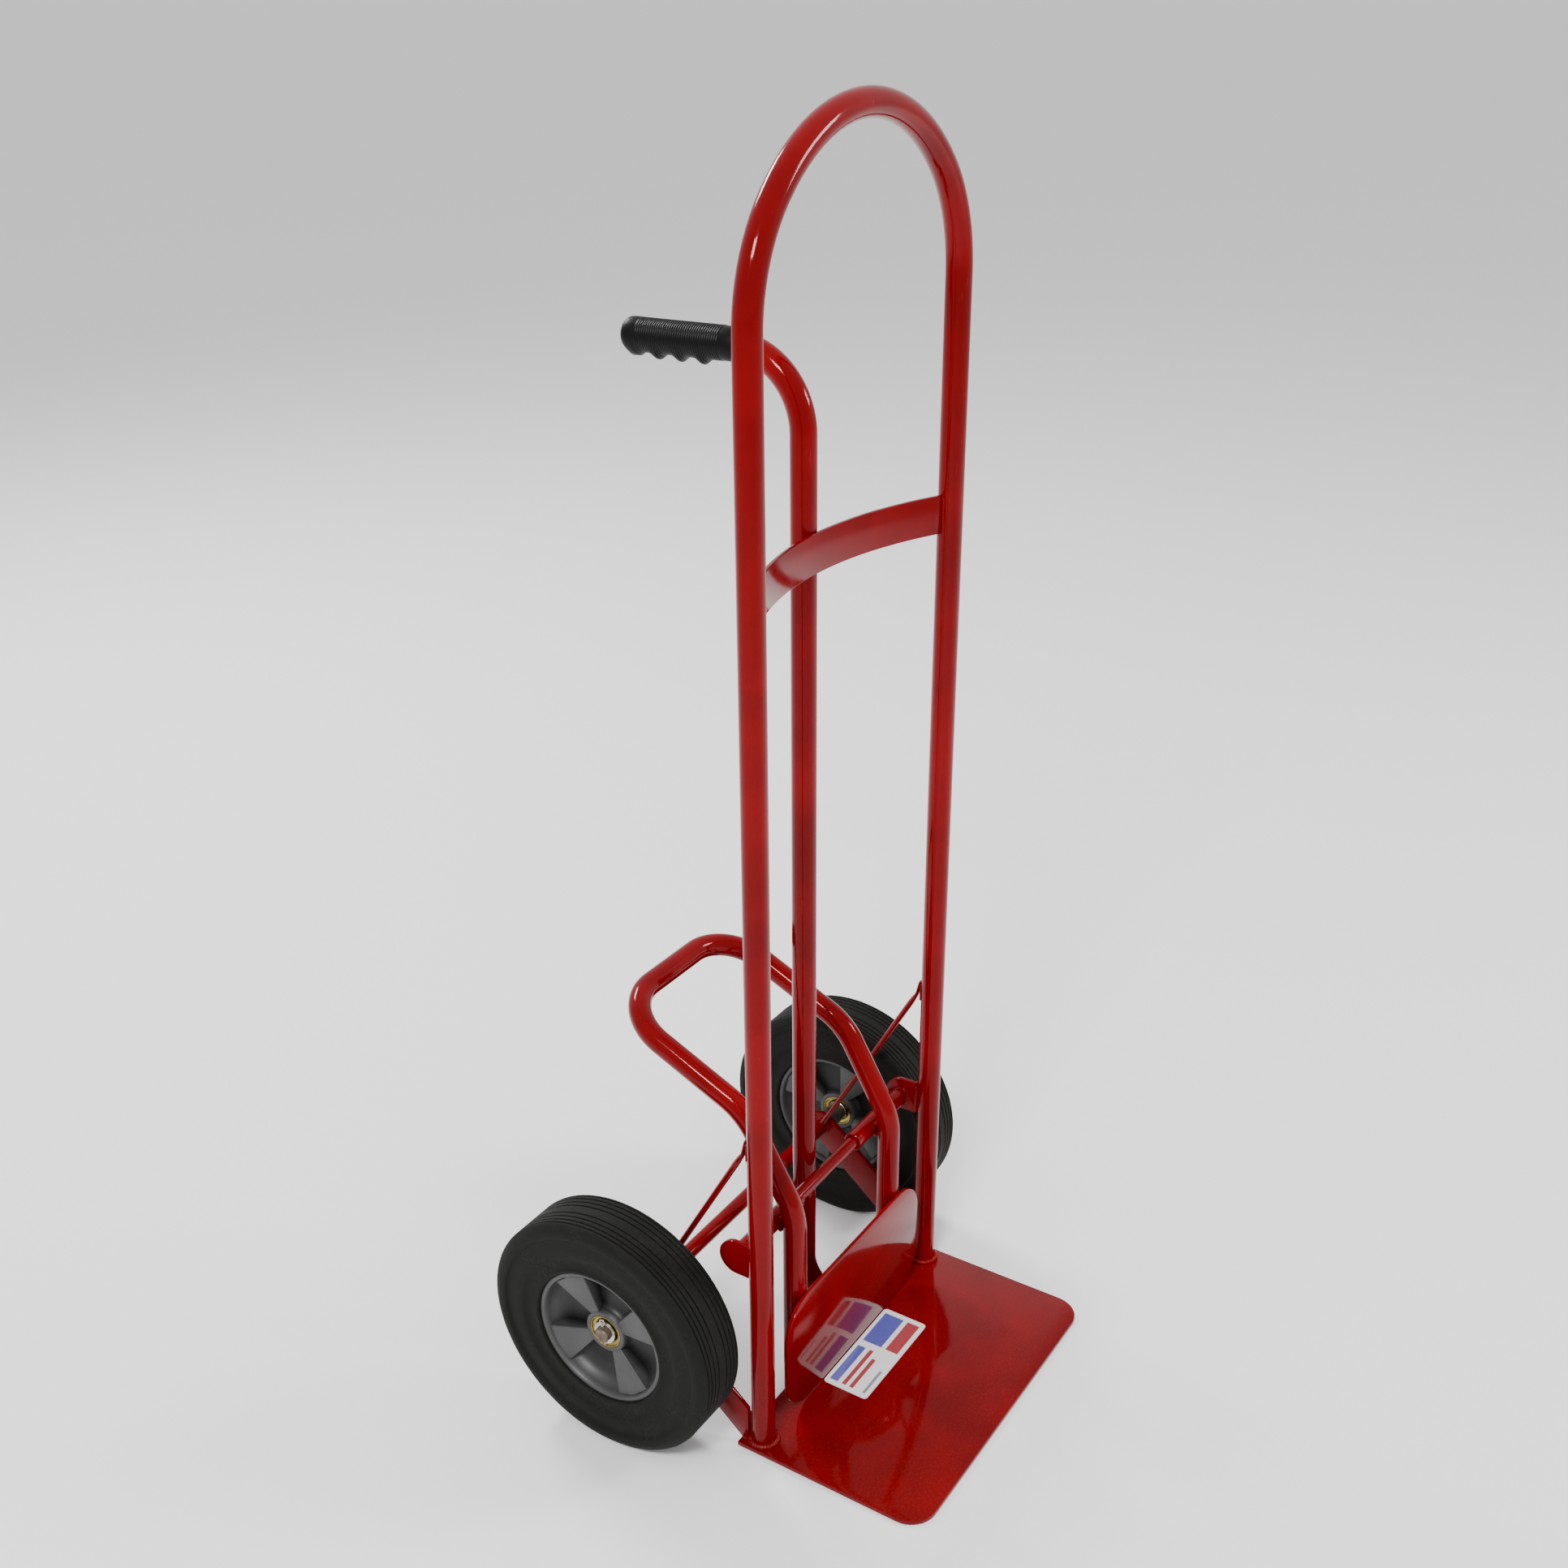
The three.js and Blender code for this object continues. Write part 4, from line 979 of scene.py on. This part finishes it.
class HANDTRUCK_OT_wheels(HandTruckOperator, bpy.types.Operator):
    """Moulds the tyres and casts the hubs with their four spokes"""
    bl_idname = "handtruck.wheels"
    bl_label = "Tyres and hubs"

    def tyre_outline(self, radius, half):
        groove, depth = 0.7 * MM, 1.7 * MM
        side = [(72.2, 26.6), (73.4, 28.0), (75.6, 28.3), (77.2, 27.2), (79.0, 26.6),
                (84.0, 26.5), (88.6, 26.9), (91.0, 28.6), (93.0, 29.1), (101.0, 29.2),
                (108.4, 28.4), (110.6, 28.7), (112.4, 30.6), (113.6, 31.0), (118.6, 30.7),
                (120.6, 29.9), (122.4, 29.0), (124.2, 28.0), (125.9, 26.6), (126.7, 25.4)]
        scale_r, scale_x = radius / 127, half / 31
        outline = [(r * scale_r, x * scale_x) for r, x in side]
        for x in (23.2, 18.2, 12.4, 6.2):
            centre = x * MM
            outline += [(radius, centre + 1.5 * groove), (radius - 0.3 * MM, centre + groove),
                        (radius - depth, centre + 0.5 * groove), (radius - depth, centre - 0.5 * groove),
                        (radius - 0.3 * MM, centre - groove), (radius, centre - 1.5 * groove)]
        return outline + [(r, -x) for r, x in reversed(outline)]

    def spoke(self, bm, centre, angle, facing):
        """A wedge that stands on the web and widens from the boss to the rim."""
        turn = Matrix.Rotation(math.radians(angle), 4, "X")
        face = Matrix((Y, Z * facing, X * facing)).transposed().to_4x4()
        place = Matrix.Translation(centre) @ turn @ face
        inner, outer, tip = 0.0205, 0.0672, 0.0035
        root_half, rim_half = 0.0062, 0.0222
        base, height, lift, draft = 0.0035, 0.0112, 0.0078, 0.92
        outline = [(inner, -root_half), (outer - tip, -rim_half), (outer, 0.0),
                   (outer - tip, rim_half), (inner, root_half)]
        back = place.inverted()
        for vert in flat_piece(bm, outline, place @ Matrix.Translation((0, 0, base)), height):
            spot = back @ vert.co
            share = (spot.x - inner) / (outer - inner)
            spot.z += lift * share
            spot.y *= draft
            vert.co = place @ spot

    def hub(self, bm, centre):
        face = [(13.2, 5.9), (18.0, 5.9), (18.0, 15.1), (18.4, 15.5), (21.6, 15.5),
                (22.3, 14.9), (23.2, 10.0), (25.2, 6.4), (28.5, 5.2), (47.0, 5.2),
                (54.0, 6.4), (59.5, 9.2), (63.6, 14.0), (65.8, 19.4), (66.6, 22.6),
                (67.3, 23.6), (68.0, 24.9), (68.8, 25.2), (71.4, 25.2), (72.0, 24.7)]
        outline = [(r * MM, x * MM) for r, x in face]
        outline += [(r, -x) for r, x in reversed(outline)]
        turned(bm, outline, centre, X, WHEEL_STEPS)

    def build(self):
        colours = sizes("handtruck_colours")
        tread = rubber("moulded_rubber", colours.rubber, colours.rubber_dust,
                       gloss=0.0, bump=0.3, specular=0.14)
        for (side, _), first in zip(SIDES, SPOKE_TURNS):
            node = f"tyre_{side}"
            centre = middle(node)
            bm = bmesh.new()
            turned(bm, self.tyre_outline(size(node).z / 2, size(node).x / 2), centre, X, WHEEL_STEPS)
            finish_piece(f"tyre_tread_{side}", bm, tread, f"wheel_{side}", "tyre_rubber", node, crease=32)
            bm = bmesh.new()
            for i in range(4):
                for facing in (1, -1):
                    self.spoke(bm, centre, first + 90 * i, facing)
            soften(bm, 0.0012, 3, 40)
            self.hub(bm, centre)
            finish_piece(f"cast_hub_{side}", bm, cast_metal(), f"wheel_{side}", "cast_hub",
                         f"hub_{side}", crease=42)


class HANDTRUCK_OT_bearings(HandTruckOperator, bpy.types.Operator):
    """Presses the bearing cups and fills them with balls and inner rings"""
    bl_idname = "handtruck.bearings"
    bl_label = "Bearings"

    def cup(self, name, node, facing):
        centre = middle(node)
        radius, half = size(node).z / 2, size(node).x / 2
        wall = 1.2 * MM
        hole = 12.4 * MM
        back = [(hole, -half), (radius - 3 * MM, -half), (radius - 0.8 * MM, 2 * MM - half),
                (radius, 4 * MM - half)]
        lip = [(radius, half - 0.3 * MM), (radius - 0.5 * MM, half), (radius - wall, half - 0.2 * MM)]
        cover = [(radius - 1.9 * MM, half - 1.5 * MM), (hole + 0.5 * MM, half - 1.9 * MM),
                 (hole, half - 2.3 * MM), (hole + 0.5 * MM, half - 2.6 * MM),
                 (radius - wall, half - 2.2 * MM)]
        inside = [(radius - wall, 4.4 * MM - half), (radius - 3.4 * MM, wall - half + 0.6 * MM),
                  (hole, wall - half)]
        bm = bmesh.new()
        turned(bm, back + lip + cover + inside, centre, X * facing, COLLAR_STEPS)
        body = node.split("_")[2]
        finish_piece(name, bm, yellow_zinc(), f"wheel_{body}", "yellow_zinc", node)

    def balls(self, name, node, body):
        centre = middle(node)
        ball = size(node).x / 2
        pitch = size(node).z / 2 - ball
        bm = bmesh.new()
        for i in range(BALL_COUNT):
            angle = 2 * math.pi * i / BALL_COUNT
            spot = centre + Vector((0, math.cos(angle), math.sin(angle))) * pitch
            bmesh.ops.create_uvsphere(bm, u_segments=16, v_segments=10, radius=ball,
                                      matrix=Matrix.Translation(spot))
        cage = 0.5 * MM
        outline = [(pitch - cage, -cage), (pitch + cage, -cage), (pitch + cage, cage), (pitch - cage, cage)]
        turned(bm, outline, centre, X, BAR_STEPS)
        finish_piece(name, bm, bright_steel(), body, "bright_steel", node)

    def inner_ring(self, name, node, facing):
        half, outer = size(node).x / 2, size(node).z / 2
        bore = size("axle").z / 2 + 0.2 * MM
        race = [(bore, -half), (outer - 1 * MM, -half), (outer - 0.4 * MM, 1.5 * MM - half),
                (outer - 1.4 * MM, 0), (outer - 0.6 * MM, half - 2 * MM)]
        face = [(outer, half - 1.2 * MM), (outer, half - 0.4 * MM), (outer - 0.4 * MM, half),
                (bore + 0.4 * MM, half), (bore, half - 0.4 * MM)]
        bm = bmesh.new()
        turned(bm, race + face, middle(node), X * facing, COLLAR_STEPS)
        finish_piece(name, bm, bright_steel(), "frame", "bright_steel", node)

    def build(self):
        for side, sign in SIDES:
            for place, facing in (("outer", sign), ("inner", -sign)):
                end = f"{side}_{place}"
                self.cup(f"pressed_cup_{end}", f"bearing_cup_{end}", facing)
                self.balls(f"caged_balls_{end}", f"ball_ring_{end}", f"wheel_{side}")
                self.inner_ring(f"race_{end}", f"inner_ring_{end}", facing)


class HANDTRUCK_OT_fasteners(HandTruckOperator, bpy.types.Operator):
    """Makes the axle spacers, washers and split pins"""
    bl_idname = "handtruck.fasteners"
    bl_label = "Axle fasteners"

    def ring(self, name, node, chamfer, trim=0.0):
        half, outer = size(node).x / 2, size(node).z / 2 - trim
        bore = size("axle").z / 2 + 0.2 * MM
        bm = bmesh.new()
        turned(bm, sleeve_outline(bore, outer, half, chamfer), middle(node), X, COLLAR_STEPS)
        finish_piece(name, bm, bright_steel(), "frame", "bright_steel", node)

    def split_pin(self, name, node):
        """Half-round wire, doubled through the axle: an eye above and two spread tails below."""
        low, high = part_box(node)
        wire = (high.x - low.x) / 4
        x = (low.x + high.x) / 2
        eye_r = (high.y - low.y) / 2 - wire
        eye_z = high.z - eye_r - wire
        bm = bmesh.new()
        for leg in (-1, 1):
            points = [(leg * eye_r * math.sin(math.radians(a)), eye_z + eye_r * math.cos(math.radians(a)))
                      for a in range(0, 151, 15)]
            beside = leg * wire * 0.95
            points += [(beside, eye_z - eye_r - 1.2 * MM), (beside, AXLE.z), (beside, low.z + 4.5 * MM)]
            points += [(leg * wire * 1.6, low.z + 2.6 * MM), (leg * wire * 3.2, low.z + wire)]
            route = [Vector((x, AXLE.y + y, z)) for y, z in points]
            places = []
            for i, point in enumerate(route):
                ahead = route[min(i + 1, len(route) - 1)] - route[max(i - 1, 0)]
                places.append(ring_place(point, ahead.normalized(), X, wire))
            sweep(bm, places, 12)
        finish_piece(name, bm, bright_steel(), "frame", "bright_steel", node, crease=50)

    def build(self):
        for side, _ in SIDES:
            self.ring(f"spacer_tube_{side}", f"axle_spacer_{side}", 0.5 * MM)
            self.ring(f"end_washer_{side}", f"axle_washer_{side}", 0.3 * MM, 1.2 * MM)
            self.split_pin(f"split_pin_{side}", f"cotter_pin_{side}")


class HANDTRUCK_OT_stage(HandTruckOperator, bpy.types.Operator):
    """Lays the pale floor and sets the camera and soft studio lights"""
    bl_idname = "handtruck.stage"
    bl_label = "Stage"

    def floor(self):
        bm = bmesh.new()
        bmesh.ops.create_grid(bm, x_segments=4, y_segments=4, size=300)
        mesh = bpy.data.meshes.new("studio_floor")
        bm.to_mesh(mesh)
        bm.free()
        pale = bpy.data.materials.new("studio_floor")
        pale.use_nodes = True
        shader = pale.node_tree.nodes["Principled BSDF"]
        shader.inputs["Base Color"].default_value = (0.86, 0.86, 0.86, 1)
        shader.inputs["Roughness"].default_value = 0.7
        mesh.materials.append(pale)
        ground = bpy.data.objects.new("studio_floor", mesh)
        bpy.context.scene.collection.objects.link(ground)

    def lamp(self, name, spot, aim, power, width, height):
        light = bpy.data.lights.new(name, "AREA")
        light.energy = power
        light.shape = "RECTANGLE"
        light.size, light.size_y = width, height
        lamp = bpy.data.objects.new(name, light)
        lamp.location = spot
        lamp.rotation_euler = (Vector(aim) - Vector(spot)).to_track_quat("-Z", "Y").to_euler()
        bpy.context.scene.collection.objects.link(lamp)

    def camera(self):
        azimuth, tilt, roll = math.radians(-55.030), math.radians(90 - 26.894), math.radians(-1.540)
        data = bpy.data.cameras.new("view")
        data.lens, data.sensor_width = 40.62, 36
        data.shift_x, data.shift_y = 0.0442, 0.05
        data.clip_end = 1000
        eye = bpy.data.objects.new("view", data)
        turn = Matrix.Rotation(azimuth, 4, "Z") @ Matrix.Rotation(tilt, 4, "X")
        turn = turn @ Matrix.Rotation(roll, 4, "Z")
        eye.matrix_world = Matrix.Translation((-1.2430, -0.7145, 1.2968)) @ turn
        bpy.context.scene.collection.objects.link(eye)
        bpy.context.scene.camera = eye

    def build(self):
        self.floor()
        self.camera()
        self.lamp("key", (-2.4, -0.6, 3.0), (0, 0, 0.5), 118, 0.8, 0.55)
        self.lamp("fill", (2.2, -2.6, 2.2), (0, 0, 0.5), 80, 1.1, 0.7)
        self.lamp("back", (0.9, 3.0, 2.9), (0.4, 0.6, 0.4), 115, 1.1, 0.6)
        world = bpy.data.worlds.new("studio")
        world.use_nodes = True
        sky = world.node_tree.nodes["Background"]
        sky.inputs["Color"].default_value = (1, 1, 1, 1)
        sky.inputs["Strength"].default_value = 0.95
        bpy.context.scene.world = world


PROPERTY_GROUPS = {
    "handtruck_frame": HANDTRUCK_PG_frame,
    "handtruck_lever": HANDTRUCK_PG_lever,
    "handtruck_grip": HANDTRUCK_PG_grip,
    "handtruck_colours": HANDTRUCK_PG_colours,
}
OPERATORS = (
    HANDTRUCK_OT_frame_tube,
    HANDTRUCK_OT_post_tube,
    HANDTRUCK_OT_lever_tube,
    HANDTRUCK_OT_grip,
    HANDTRUCK_OT_plates,
    HANDTRUCK_OT_bars,
    HANDTRUCK_OT_welds,
    HANDTRUCK_OT_wheels,
    HANDTRUCK_OT_bearings,
    HANDTRUCK_OT_fasteners,
    HANDTRUCK_OT_stage,
)


class HANDTRUCK_PT_sidebar(bpy.types.Panel):
    """Lists the hand truck's pieces, sizes and colours"""
    bl_idname = "HANDTRUCK_PT_sidebar"
    bl_label = "Hand truck"
    bl_space_type = "VIEW_3D"
    bl_region_type = "UI"
    bl_category = "Hand truck"

    def draw(self, context):
        for operator in OPERATORS:
            self.layout.operator(operator.bl_idname)
        for name in PROPERTY_GROUPS:
            group = getattr(context.scene, name)
            column = self.layout.column(align=True)
            for prop in group.__annotations__:
                column.prop(group, prop)


def register():
    for name, group in PROPERTY_GROUPS.items():
        bpy.utils.register_class(group)
        setattr(bpy.types.Scene, name, PointerProperty(type=group))
    for cls in (*OPERATORS, HANDTRUCK_PT_sidebar):
        bpy.utils.register_class(cls)


def unregister():
    for cls in reversed((*OPERATORS, HANDTRUCK_PT_sidebar)):
        bpy.utils.unregister_class(cls)
    for name, group in PROPERTY_GROUPS.items():
        delattr(bpy.types.Scene, name)
        bpy.utils.unregister_class(group)


def main():
    register()
    for operator in OPERATORS:
        family, action = operator.bl_idname.split(".")
        if getattr(getattr(bpy.ops, family), action)() != {"FINISHED"}:
            raise RuntimeError(f"{operator.bl_label} did not finish")


if __name__ == "__main__":
    main()
